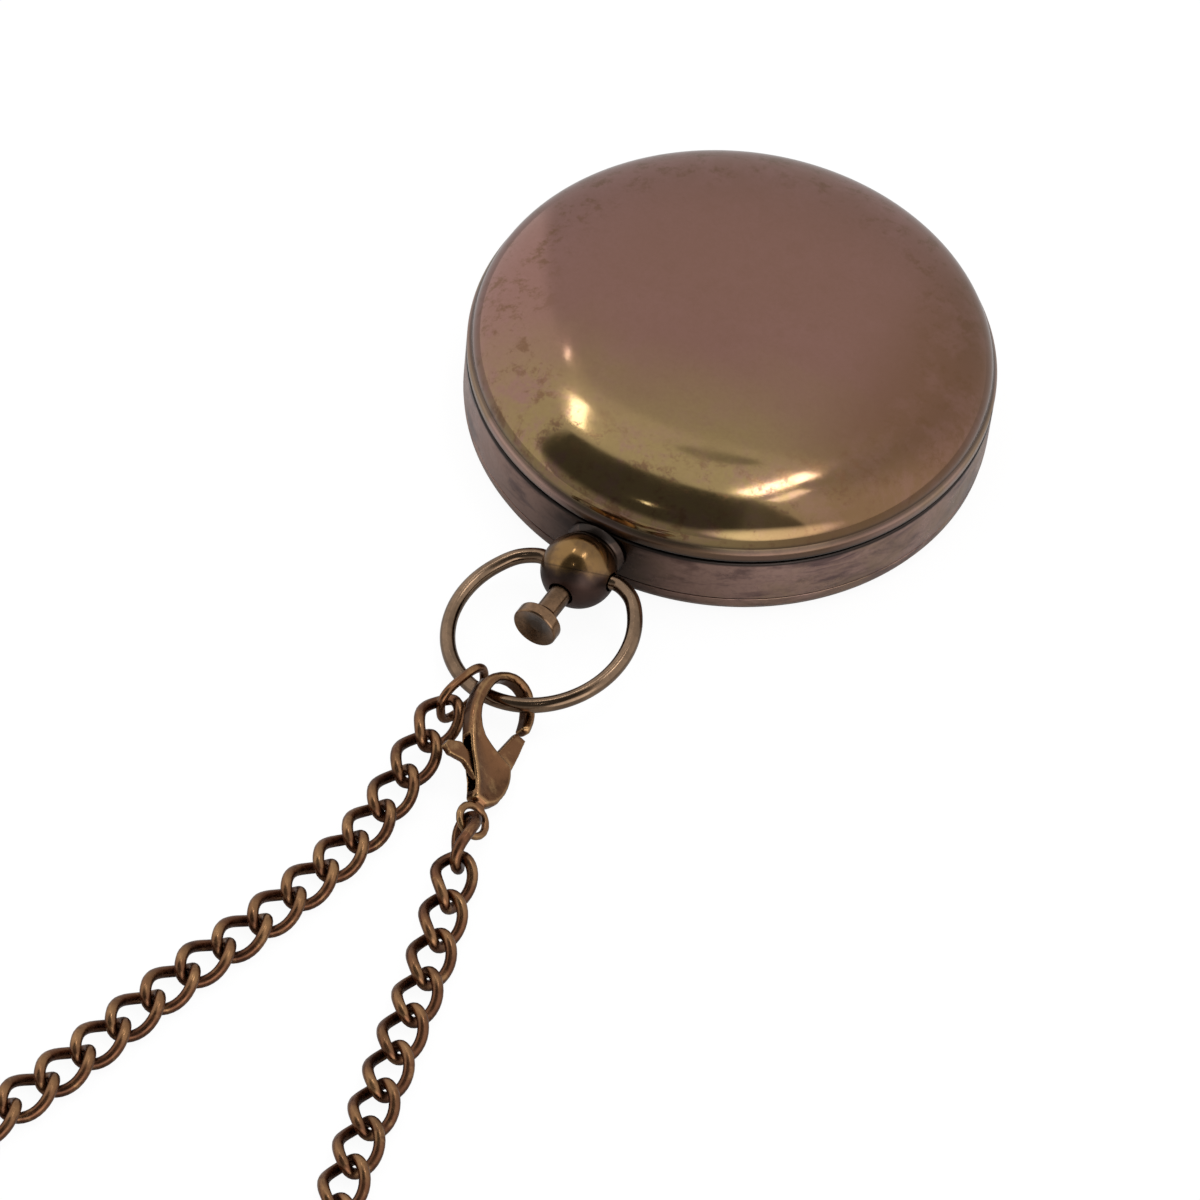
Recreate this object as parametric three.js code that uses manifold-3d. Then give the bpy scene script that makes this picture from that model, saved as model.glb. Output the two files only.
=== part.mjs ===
// A pocket sundial compass with a push-button lid, a bow ring and a curb chain.
// Millimetres, +Z up. The origin is the middle of the flat back, the pendant points to -Y
// and the lid hinge is at +Y. The case lies flat with its lid closed, and the chain lies beside it.
import * as THREE from "three";
import { mergeVertices } from "three/addons/utils/BufferGeometryUtils.js";
import Module from "manifold-3d";

const wasm = await Module();
wasm.setup();
const RADIANS = Math.PI / 180;

// Clearances
const SEAT_GAP = 0.1; // between flat faces that rest on each other
const RUN_GAP = 0.3; // between pieces that move past each other
const FIT_GAP = 0.2; // on the radius of a pin or spigot in its bore

// Case and back
const CASE_RADIUS = 25;
const CASE_WALL = 1.2;
const PARTING_Z = 7.4; // where the lid meets the case
const PARTING_GAP = 0.2;
const BACK_FLOOR = 1.2;
const BACK_BAND = 2.2; // height of the bevelled band of the back
const BACK_BEVEL = 1.5; // how far the flat underside stands inside the wall
const SPIGOT_HEIGHT = 0.8;
const SPIGOT_WALL = 0.7;
const LIP_HEIGHT = 0.5; // the lip that the lid drops over
const LIP_WALL = 0.8;
const LIP_DEPTH = 1.3; // height of the lip ring, inside the wall
const TURNED_SIDES = 48;

// Lid
const LID_WALL = 0.8;
const LID_BAND_WALL = 1.0;
const LID_BAND = 1.35; // height of the plain band round the rim
const LID_STEP = 0.45; // how far the dome stands inside the band
const DOME_HEIGHT = 5.1;
const DOME_SIDE_POWER = 3; // the dome's section is a superellipse with these two powers
const DOME_TOP_POWER = 2.2;
const NAIL_NOTCH_ANGLE = 16; // degrees, counter-clockwise from +X
const NAIL_NOTCH_RADIUS = 0.9;
const NAIL_NOTCH_DEPTH = 0.6;

// Compass
const DIAL_THICKNESS = 0.5;
const SPACER_SETBACK = 0.95; // spacer inside the wall springs
const SPACER_WALL = 1.2;
const SPACER_HEIGHT = 2.6;
const GLASS_THICKNESS = 0.9;
const NEEDLE_MARGIN = 4.5; // needle tip to the spacer
const NEEDLE_WIDTH = 3.4;
const NEEDLE_THICKNESS = 0.3;
const NEEDLE_LIFT = 1.3; // from the dial to the needle
const CAP_RADIUS = 0.95;
const CAP_FLANGE = 1.45;
const CAP_HEIGHT = 1.3;
const POST_RADIUS = 0.75;

// Sundial
const HOUR_RING_THICKNESS = 0.9;
const HOUR_RING_WIDTH = 8.5;
const GNOMON_LATITUDE = 30; // degrees between the style and the dial
const GNOMON_INSET = 1; // gnomon ends inside the hour ring's inner edge
const GNOMON_TAIL = 4.5; // length of the base behind the style
const GNOMON_THICKNESS = 0.7;
const GNOMON_FRAME = 2.6; // width of the plate round its window
const GNOMON_BARREL = 0.8;
const GNOMON_PIN_RADIUS = 0.4;
const LUG_LENGTH = 1.8;
const LUG_WALL = 0.5;

// Lid hinge
const HINGE_OFFSET = 0.4; // axis outside the case wall
const HINGE_DROP = 1.3; // axis below the parting line
const KNUCKLE_RADIUS = 0.95;
const KNUCKLE_CENTRE = 3.2;
const HINGE_LENGTH = 10;
const HINGE_PIN_RADIUS = 0.4;
const LEAF_THICKNESS = 0.5;
const CASE_LEAF_HEIGHT = 2.5;

// Catch and lid springs
const SPRING_STRIP = 0.45;
const SPRING_HEIGHT = 2.1;
const SPRING_BASE_Z = 3.3;
const TONGUE_WIDTH = 3.2;
const CATCH_REACH = 0.7;
const CATCH_NOSE = 0.3;
const LEDGE_WIDTH = 4;
const LEDGE_DEPTH = 0.9;
const LEDGE_THICKNESS = 0.3;

// Pendant and button
const PENDANT_Z = 4.8;
const BALL_RADIUS = 3.55;
const BALL_OFFSET = 3.3; // ball centre outside the case wall
const BALL_FLAT = 2.3; // from the ball centre to its flat at the collar
const COLLAR_RADIUS = 3.05;
const NECK_RADIUS = 1.7;
const STEM_RADIUS = 1.05;
const STEM_TIP_RADIUS = 0.7;
const BUTTON_HEAD_RADIUS = 2.18;
const BUTTON_HEAD_THICKNESS = 1.25;
const BUTTON_STANDOFF = 4.65; // from the front of the ball to the button's face
const BUTTON_DISH = 0.25;
const SPRING_BORE = 1.75;
const SPRING_CHAMBER = 3.7;
const STEM_FLANGE = 0.4;
const COIL_WIRE = 0.16;
const COIL_TURNS = 4;

// Bow
const BOW_RADIUS = 8.65;
const BOW_WIRE = 0.63;
const BOW_REACH = 7.1; // ball centre to the middle of the ring
const BOW_DROOP = 8.5; // degrees below level
const BOW_LEAN = 9.5; // degrees that the pendant's cross bore stands off level
const BOW_END_DEPTH = 1.1;
const BOW_SIDES = 8;

// Lobster clasp: its plane is set by heading, pitch and roll at the bow wire
const CLASP_ON_BOW = 8; // degrees along the bow, from its far end
const CLASP_HEADING = 21.8;
const CLASP_PITCH = 5.7;
const CLASP_ROLL = 38;
const CLASP_SLIP = 0.2; // bow wire below the middle of the hook
const CLASP_THICKNESS = 1.8;
const CLASP_BEVEL = 0.4;
const CLASP_SLOT = 1.1;
const LEVER_THICKNESS = 0.7;
const CLASP_PIN_RADIUS = 0.45;
const EYELET_RADIUS = 1.5;
const EYELET_WIRE = 0.42;

// Jump ring, an oval that stands on edge round the bow
const JUMP_ON_BOW = -17; // degrees along the bow, from its far end
const JUMP_HALF_LENGTH = 2.9;
const JUMP_HALF_WIDTH = 1.95;
const JUMP_POWER = 2.8; // the oval's outline is a superellipse
const JUMP_WIRE = 0.42;
const JUMP_HEADING = -12; // degrees from -Y
const JUMP_LEAN = -7; // degrees from upright
const JUMP_OVERHANG = 1.4; // bow wire to the middle of the oval

// Curb chain: each link is an oval twisted about its length
const LINK_HALF_LENGTH = 2.72;
const LINK_HALF_WIDTH = 1.75;
const LINK_WIRE = 0.45;
const LINK_TWIST = -47;
const LINK_STEPS = 12;
const LINK_SIDES = 5;
const LINK_PITCH = 4.2;
const LINK_PLAY = 0.6; // slack of the end links in the jump ring and the eyelet
const TAUT_PITCH = 4.7; // links drawn tight against each other, in the loop
const CHAIN_Z = 1.2;
const TABLE_GAP = 0.05;
const LEFT_LINKS = 15;
const RIGHT_LINKS = 11;
const START_ROLLS = [-20, -10]; // degrees that the first links turn, towards the jump ring
const END_TWIST = 30; // the last link, which stands on edge
const END_ROLLS = [9, 18, 27, -75]; // degrees that the last links turn, towards the clasp's eyelet

// Heights and radii that follow from the sizes above
const wallInside = CASE_RADIUS - CASE_WALL;
const lidInside = CASE_RADIUS - LID_BAND_WALL;
const lidRimZ = PARTING_Z + PARTING_GAP / 2;
const caseTopZ = PARTING_Z - PARTING_GAP / 2;
const domeZ = lidRimZ + LID_BAND;
const lipOutside = lidInside - RUN_GAP;
const lipInside = lipOutside - LIP_WALL;
const lipTopZ = PARTING_Z + LIP_HEIGHT;
const lipUnderZ = lipTopZ - LIP_DEPTH;
const springInside = lipInside - RUN_GAP - SPRING_STRIP;
const spacerOutside = springInside - SPACER_SETBACK;
const spacerInside = spacerOutside - SPACER_WALL;
const spigotOutside = wallInside - FIT_GAP;
const spigotInside = spigotOutside - SPIGOT_WALL;
const dialZ = BACK_FLOOR + SEAT_GAP;
const dialTopZ = dialZ + DIAL_THICKNESS;
const dialRadius = spigotInside - RUN_GAP;
const spacerZ = dialTopZ + SEAT_GAP;
const glassZ = spacerZ + SPACER_HEIGHT + SEAT_GAP;
const ringZ = glassZ + GLASS_THICKNESS + SEAT_GAP;
const ringTopZ = ringZ + HOUR_RING_THICKNESS;
const ringOutside = wallInside - RUN_GAP;
const ringInside = ringOutside - HOUR_RING_WIDTH;
const needleZ = dialTopZ + NEEDLE_LIFT;
const hingeY = CASE_RADIUS + HINGE_OFFSET;
const hingeZ = PARTING_Z - HINGE_DROP;
const ballY = -(CASE_RADIUS + BALL_OFFSET);

// Small tools for shapes
const vec2 = ([x, y]) => new THREE.Vector2(x, y);
const vec3 = ([x, y, z]) => new THREE.Vector3(x, y, z);

function solid(geometry) {
  const flat = geometry.index ? geometry.toNonIndexed() : geometry;
  const bare = new THREE.BufferGeometry().setAttribute("position", flat.getAttribute("position"));
  const merged = mergeVertices(bare, 1e-4);
  const vertProperties = merged.attributes.position.array;
  return new wasm.Manifold(
    new wasm.Mesh({ numProp: 3, vertProperties, triVerts: new Uint32Array(merged.index.array) }),
  );
}

function toGeometry(manifold) {
  const mesh = manifold.getMesh();
  const geometry = new THREE.BufferGeometry();
  geometry.setAttribute("position", new THREE.BufferAttribute(mesh.vertProperties, 3));
  geometry.setIndex(new THREE.BufferAttribute(mesh.triVerts, 1));
  geometry.computeVertexNormals();
  return geometry;
}

const join = (first, ...others) =>
  toGeometry(others.reduce((whole, piece) => whole.add(solid(piece)), solid(first)));
const cut = (first, ...tools) =>
  toGeometry(tools.reduce((whole, tool) => whole.subtract(solid(tool)), solid(first)));

// A profile of [radius, height] points turned about Z
function turned(profile, sides = TURNED_SIDES) {
  return new THREE.LatheGeometry(profile.map(vec2), sides).rotateX(Math.PI / 2);
}

// A profile of [radius, distance] points turned about Y
function turnedAboutY(profile, sides) {
  return new THREE.LatheGeometry(profile.map(vec2), sides);
}

const ringProfile = (inside, outside, low, high) => [
  [inside, low],
  [outside, low],
  [outside, high],
  [inside, high],
  [inside, low],
];

const discProfile = (radius, low, high) => [
  [0, low],
  [radius, low],
  [radius, high],
  [0, high],
];

// A box between two corners
function block(low, high) {
  const size = high.map((value, axis) => value - low[axis]);
  const middle = high.map((value, axis) => (value + low[axis]) / 2);
  return new THREE.BoxGeometry(...size).translate(...middle);
}

// A round bar along X, Y or Z between two places on that axis
function bar(axis, radius, from, to, centre, sides = 16) {
  const geometry = new THREE.CylinderGeometry(radius, radius, to - from, sides);
  geometry.translate(0, (from + to) / 2, 0);
  if (axis === "x") geometry.rotateZ(-Math.PI / 2);
  if (axis === "z") geometry.rotateX(Math.PI / 2);
  return geometry.translate(...centre);
}

function outline(points) {
  return new THREE.Shape(points.map(vec2));
}

function plate(shape, thickness, bevel = 0) {
  const geometry = new THREE.ExtrudeGeometry(shape, {
    depth: thickness - 2 * bevel,
    curveSegments: 6,
    bevelEnabled: bevel > 0,
    bevelThickness: bevel,
    bevelSize: bevel,
    bevelOffset: -bevel,
    bevelSegments: 2,
  });
  return geometry.translate(0, 0, bevel - thickness / 2);
}

// A round wire along an open curve, with flat ends
function wire(curve, radius, steps, sides) {
  const section = new THREE.EllipseCurve(0, 0, radius, radius, 0, 2 * Math.PI);
  const shape = new THREE.Shape(section.getPoints(sides).slice(0, -1));
  return new THREE.ExtrudeGeometry(shape, { extrudePath: curve, steps });
}

// A spring strip that stands on edge and follows the wall, its radius changing from end to end
function wallStrip(fromAngle, toAngle, fromRadius, toRadius, low, high) {
  const steps = 10;
  const rim = (offset) =>
    Array.from({ length: steps + 1 }, (_, step) => {
      const share = step / steps;
      const angle = (fromAngle + (toAngle - fromAngle) * share) * RADIANS;
      const radius = fromRadius + (toRadius - fromRadius) * share + offset;
      return [radius * Math.cos(angle), radius * Math.sin(angle)];
    });
  const shape = outline([...rim(0), ...rim(SPRING_STRIP).reverse()]);
  const strip = new THREE.ExtrudeGeometry(shape, { depth: high - low, bevelEnabled: false });
  return strip.translate(0, 0, low);
}

// Half of a superellipse dome, from its foot to its crown
function domeProfile(radius, height, footZ, steps) {
  return Array.from({ length: steps + 1 }, (_, step) => {
    const angle = (step / steps) * (Math.PI / 2);
    const across = Math.max(Math.cos(angle), 0) ** (2 / DOME_SIDE_POWER);
    const up = Math.sin(angle) ** (2 / DOME_TOP_POWER);
    return [step === steps ? 0 : radius * across, footZ + height * up];
  });
}

// Finishes
const FINISHES = {
  lidPatina: { color: 0x785c50, roughness: 0.25, metalness: 1 },
  casePatina: { color: 0x6e5550, roughness: 0.38, metalness: 1 },
  brass: { color: 0x8a6d42, roughness: 0.3, metalness: 1 },
  bowBrass: { color: 0x6f5a43, roughness: 0.35, metalness: 1 },
  claspCopper: { color: 0x82603f, roughness: 0.42, metalness: 1 },
  chainBrown: { color: 0x4f3826, roughness: 0.4, metalness: 1 },
  springSteel: { color: 0x8d9094, roughness: 0.3, metalness: 1 },
  bluedSteel: { color: 0x243a5e, roughness: 0.3, metalness: 1 },
  dialCard: { color: 0xe9e2cf, roughness: 0.8, metalness: 0 },
  clearGlass: { color: 0xf4f8f8, roughness: 0.05, metalness: 0, transparent: true, opacity: 0.3 },
};

const compass = new THREE.Group();

function addPiece(group, name, geometry, finish) {
  const mesh = new THREE.Mesh(geometry, new THREE.MeshStandardMaterial(FINISHES[finish]));
  mesh.name = name;
  group.add(mesh);
  return mesh;
}

// Back: a bevelled plate with a spigot that centres the case wall
function makeBack() {
  const foot = CASE_RADIUS - BACK_BEVEL;
  const profile = [
    [0, 0],
    [foot, 0],
    [CASE_RADIUS - 0.5, 0.45],
    [CASE_RADIUS - 0.12, 1.2],
    [CASE_RADIUS, BACK_BAND],
    [spigotOutside, BACK_BAND],
    [spigotOutside, BACK_BAND + SPIGOT_HEIGHT],
    [spigotInside, BACK_BAND + SPIGOT_HEIGHT],
    [spigotInside, BACK_FLOOR],
    [0, BACK_FLOOR],
  ];
  addPiece(compass, "case_back", turned(profile), "casePatina");
}

// Case wall with the lip for the lid, the pendant hole, the hinge seat and the spring gaps
function makeCaseBody() {
  const profile = [
    [wallInside, BACK_BAND + SEAT_GAP],
    [CASE_RADIUS, BACK_BAND + SEAT_GAP],
    [CASE_RADIUS, caseTopZ],
    [lipOutside, caseTopZ],
    [lipOutside, lipTopZ],
    [lipInside, lipTopZ],
    [lipInside, lipUnderZ],
    [wallInside, lipUnderZ],
    [wallInside, BACK_BAND + SEAT_GAP],
  ];
  const pendantHole = bar("y", NECK_RADIUS + FIT_GAP, -CASE_RADIUS - 1, 0, [0, 0, PENDANT_Z]);
  const seatY = hingeSeatY();
  const seatLow = hingeZ - CASE_LEAF_HEIGHT - FIT_GAP;
  const halfSeat = HINGE_LENGTH / 2 + RUN_GAP;
  const hingeSeat = block([-halfSeat, seatY, seatLow], [halfSeat, hingeY, lipTopZ]);
  const halfKnuckle = KNUCKLE_CENTRE / 2 + 2 * RUN_GAP;
  const knuckleRoom = bar("x", KNUCKLE_RADIUS + RUN_GAP, -halfKnuckle, halfKnuckle, [0, hingeY, hingeZ]);
  const halfGap = TONGUE_WIDTH / 2 + 2 * RUN_GAP;
  const springGap = block([-halfGap, 0, lipUnderZ - 1], [halfGap, lipOutside + 0.05, lipTopZ + 1]);
  const pieces = [pendantHole, hingeSeat, knuckleRoom, springGap];
  addPiece(compass, "case_body", cut(turned(profile), ...pieces), "casePatina");
}

// The flat on the case wall that the hinge leaf lies on
function hingeSeatY() {
  return hingeY - KNUCKLE_RADIUS - FIT_GAP;
}

// Compass card, needle on its post, and the glass on its spacer
function makeCompass() {
  const dial = ringProfile(POST_RADIUS + FIT_GAP, dialRadius, dialZ, dialTopZ);
  addPiece(compass, "compass_dial", turned(dial), "dialCard");

  const tipZ = needleZ + NEEDLE_THICKNESS;
  const post = [
    [0, BACK_FLOOR + SEAT_GAP],
    [POST_RADIUS, BACK_FLOOR + SEAT_GAP],
    [POST_RADIUS, dialTopZ + 0.4],
    [POST_RADIUS / 2, dialTopZ + 0.7],
    [POST_RADIUS / 4, tipZ - 0.6],
    [0, tipZ],
  ];
  addPiece(compass, "pivot_post", turned(post, 16), "brass");

  const half = spacerInside - NEEDLE_MARGIN;
  const needleShape = outline([
    [0, -half],
    [NEEDLE_WIDTH / 2, -1.5],
    [NEEDLE_WIDTH / 2, 1.5],
    [0, half],
    [-NEEDLE_WIDTH / 2, 1.5],
    [-NEEDLE_WIDTH / 2, -1.5],
  ]);
  const capHole = new THREE.Path();
  capHole.absarc(0, 0, CAP_RADIUS + FIT_GAP, 0, 2 * Math.PI);
  needleShape.holes.push(capHole);
  const needle = plate(needleShape, NEEDLE_THICKNESS).translate(0, 0, needleZ + NEEDLE_THICKNESS / 2);
  addPiece(compass, "needle", needle, "bluedSteel");

  const flangeZ = needleZ + NEEDLE_THICKNESS + SEAT_GAP;
  const cap = [
    [0, tipZ + RUN_GAP],
    [CAP_RADIUS - 0.2, needleZ - 0.3],
    [CAP_RADIUS, needleZ - 0.3],
    [CAP_RADIUS, flangeZ],
    [CAP_FLANGE, flangeZ],
    [CAP_FLANGE - 0.15, flangeZ + 0.35],
    [CAP_RADIUS - 0.35, needleZ - 0.3 + CAP_HEIGHT],
    [0, needleZ - 0.2 + CAP_HEIGHT],
  ];
  addPiece(compass, "needle_cap", turned(cap, 20), "brass");

  const spacer = ringProfile(spacerInside, spacerOutside, spacerZ, spacerZ + SPACER_HEIGHT);
  addPiece(compass, "spacer_ring", turned(spacer), "brass");
  const glass = discProfile(spacerOutside, glassZ, glassZ + GLASS_THICKNESS);
  addPiece(compass, "glass", turned(glass), "clearGlass");
}

// Hour ring with two lugs, and the gnomon folded flat between them on its pins
function makeSundial() {
  const axisZ = ringTopZ + GNOMON_BARREL + FIT_GAP;
  const halfBase = ringInside - GNOMON_INSET;
  const styleRun = 2 * halfBase - GNOMON_TAIL;
  const lugStart = halfBase + RUN_GAP;
  const lugEnd = lugStart + LUG_LENGTH;
  const halfLug = GNOMON_PIN_RADIUS + FIT_GAP + LUG_WALL;
  const lugTop = axisZ + halfLug;
  const lugFoot = ringTopZ - HOUR_RING_THICKNESS / 2;
  const lugs = [
    block([-halfLug, lugStart, lugFoot], [halfLug, lugEnd, lugTop]),
    block([-halfLug, -lugEnd, lugFoot], [halfLug, -lugStart, lugTop]),
  ];
  const pinBore = GNOMON_PIN_RADIUS + FIT_GAP;
  const boreThrough = bar("y", pinBore, -CASE_RADIUS, CASE_RADIUS, [0, 0, axisZ]);
  const halfGap = TONGUE_WIDTH / 2 + RUN_GAP;
  const gapDepth = lipInside - SPRING_STRIP - 4 * RUN_GAP;
  const catchGap = block([-halfGap, -CASE_RADIUS, ringZ - 1], [halfGap, -gapDepth, ringTopZ + 1]);
  const springGap = block([-halfGap, gapDepth, ringZ - 1], [halfGap, CASE_RADIUS, ringTopZ + 1]);
  const ring = turned(ringProfile(ringInside, ringOutside, ringZ, ringTopZ));
  addPiece(compass, "hour_ring", cut(join(ring, ...lugs), boreThrough, catchGap, springGap), "brass");

  const height = styleRun * Math.tan(GNOMON_LATITUDE * RADIANS);
  const apexY = halfBase - styleRun;
  const fin = new THREE.Shape();
  fin.moveTo(0, halfBase);
  fin.lineTo(0, -halfBase);
  fin.quadraticCurveTo(height * 0.3, apexY, height, apexY);
  fin.lineTo(0, halfBase);
  const inset = GNOMON_FRAME;
  const slope = Math.tan(GNOMON_LATITUDE * RADIANS);
  const windowTop = apexY + inset;
  const windowFoot = halfBase - inset / Math.sin(GNOMON_LATITUDE * RADIANS) - inset;
  const window = outline([
    [inset / 2 + GNOMON_BARREL, windowTop],
    [(halfBase - windowTop) * slope - inset / Math.cos(GNOMON_LATITUDE * RADIANS), windowTop],
    [inset / 2 + GNOMON_BARREL, windowFoot],
  ]);
  fin.holes.push(window);
  const barrel = bar("y", GNOMON_BARREL, -halfBase, halfBase, [0, 0, 0], 12);
  const endBores = [-1, 1].map((side) => {
    const from = side < 0 ? -halfBase - 1 : halfBase - LUG_LENGTH;
    return bar("y", pinBore, from, from + LUG_LENGTH + 1, [0, 0, 0], 12);
  });
  const gnomon = cut(join(plate(fin, GNOMON_THICKNESS), barrel), ...endBores);
  addPiece(compass, "gnomon", gnomon, "brass").position.set(0, 0, axisZ);

  for (const [name, side] of [["gnomon_pin_south", 1], ["gnomon_pin_north", -1]]) {
    const inner = halfBase - LUG_LENGTH + RUN_GAP;
    const from = side > 0 ? inner : -lugEnd;
    const pin = bar("y", GNOMON_PIN_RADIUS, from, from + lugEnd - inner, [0, 0, axisZ], 12);
    addPiece(compass, name, pin, "brass");
  }
}

// Lid shell: a plain band, a step and a dome, with ledges inside for the catch and the lid spring
function makeLid() {
  const domeFoot = CASE_RADIUS - LID_STEP;
  const inner = domeProfile(domeFoot - LID_WALL, DOME_HEIGHT - LID_WALL, domeZ, 7).reverse();
  const outer = domeProfile(domeFoot, DOME_HEIGHT, domeZ + 0.1, 11);
  const profile = [
    ...inner,
    [lidInside, domeZ - 0.2],
    [lidInside, lidRimZ],
    [CASE_RADIUS, lidRimZ],
    [CASE_RADIUS, domeZ - LID_STEP],
    [CASE_RADIUS - LID_STEP / 3, domeZ - LID_STEP / 4],
    [domeFoot + LID_STEP / 8, domeZ],
    ...outer,
  ];
  const ledgeZ = lipTopZ + SEAT_GAP;
  const half = LEDGE_WIDTH / 2;
  const ledges = [-1, 1].map((side) => {
    const near = side * (lidInside - LEDGE_DEPTH);
    const far = side * (lidInside + LID_BAND_WALL / 4);
    return block(
      [-half, Math.min(near, far), ledgeZ],
      [half, Math.max(near, far), ledgeZ + LEDGE_THICKNESS],
    );
  });
  const halfHinge = HINGE_LENGTH / 2 + RUN_GAP;
  const knuckleRoom = bar("x", KNUCKLE_RADIUS + RUN_GAP, -halfHinge, halfHinge, [0, hingeY, hingeZ]);
  const halfLeaf = KNUCKLE_CENTRE / 2 + RUN_GAP;
  const leafRoom = block([-halfLeaf, lidLeafY() - FIT_GAP, lidRimZ - 1], [halfLeaf, hingeY, domeZ + 0.05]);
  const notch = bar("y", NAIL_NOTCH_RADIUS, CASE_RADIUS - NAIL_NOTCH_DEPTH, CASE_RADIUS + 1, [0, 0, 0]);
  notch.rotateZ((NAIL_NOTCH_ANGLE - 90) * RADIANS).translate(0, 0, lidRimZ);
  const shell = cut(join(turned(profile), ...ledges), knuckleRoom, leafRoom, notch);
  addPiece(compass, "lid", shell, "lidPatina");
}

const lidLeafY = () => CASE_RADIUS - LEAF_THICKNESS;

// Hinge: two knuckles on the case leaf, one on the lid leaf, and the pin through them
function makeHinge() {
  const half = HINGE_LENGTH / 2;
  const centreHalf = KNUCKLE_CENTRE / 2;
  const sideStart = centreHalf + RUN_GAP;
  const axis = [0, hingeY, hingeZ];
  const pinBore = bar("x", HINGE_PIN_RADIUS + FIT_GAP, -half - 1, half + 1, axis);
  const centreRoom = bar("x", KNUCKLE_RADIUS + RUN_GAP, -sideStart, sideStart, axis);
  const leafY = hingeSeatY() + SEAT_GAP;
  const casePlate = block(
    [-half, leafY, hingeZ - CASE_LEAF_HEIGHT],
    [half, leafY + LEAF_THICKNESS, hingeZ],
  );
  const caseLeaf = cut(
    toGeometry(
      solid(cut(casePlate, centreRoom))
        .add(solid(bar("x", KNUCKLE_RADIUS, -half, -sideStart, axis)))
        .add(solid(bar("x", KNUCKLE_RADIUS, sideStart, half, axis))),
    ),
    pinBore,
  );
  addPiece(compass, "case_hinge_leaf", caseLeaf, "casePatina");

  const lidPlate = block(
    [-centreHalf, lidLeafY(), hingeZ + KNUCKLE_RADIUS / 3],
    [centreHalf, CASE_RADIUS, domeZ - FIT_GAP],
  );
  const lidKnuckle = bar("x", KNUCKLE_RADIUS, -centreHalf, centreHalf, axis);
  addPiece(compass, "lid_hinge_leaf", cut(join(lidKnuckle, lidPlate), pinBore), "lidPatina");
  addPiece(compass, "hinge_pin", bar("x", HINGE_PIN_RADIUS, -half, half, axis, 12), "brass");
}

// Catch spring at the pendant and lid spring at the hinge, each a strip with a tongue at one end
function makeWallSprings() {
  const half = TONGUE_WIDTH / 2;
  const fixedRadius = wallInside - RUN_GAP - SPRING_STRIP;
  const freeRadius = springInside;
  const outside = freeRadius + SPRING_STRIP;
  const stripTop = SPRING_BASE_Z + SPRING_HEIGHT;
  const endAngle = Math.asin(half / freeRadius) / RADIANS;
  const ledgeZ = lipTopZ + SEAT_GAP;

  const noseZ = ledgeZ + LEDGE_THICKNESS + SEAT_GAP;
  const noseTop = noseZ + CATCH_NOSE;
  const catchStrip = wallStrip(-150, -90 + endAngle, fixedRadius, freeRadius, SPRING_BASE_Z, stripTop);
  const catchTongue = block([-half, -outside, SPRING_BASE_Z], [half, -freeRadius, noseTop]);
  const catchNose = block([-half, -outside - CATCH_REACH, noseZ], [half, -freeRadius, noseTop]);
  addPiece(compass, "catch_spring", join(catchStrip, catchTongue, catchNose), "springSteel");

  const footTop = ledgeZ - SEAT_GAP;
  const lidStrip = wallStrip(30, 90 + endAngle, fixedRadius, freeRadius, SPRING_BASE_Z, stripTop);
  const lidTongue = block([-half, freeRadius, SPRING_BASE_Z], [half, outside, footTop]);
  const lidFoot = block([-half, freeRadius, footTop - CATCH_NOSE], [half, outside + CATCH_REACH, footTop]);
  addPiece(compass, "lid_spring", join(lidStrip, lidTongue, lidFoot), "springSteel");
}

// A helix along Y
class Helix extends THREE.Curve {
  constructor(radius, length, turns) {
    super();
    this.radius = radius;
    this.length = length;
    this.turns = turns;
  }
  getPoint(share) {
    const angle = 2 * Math.PI * this.turns * share;
    return new THREE.Vector3(
      this.radius * Math.cos(angle),
      this.length * share,
      this.radius * Math.sin(angle),
    );
  }
}

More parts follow.
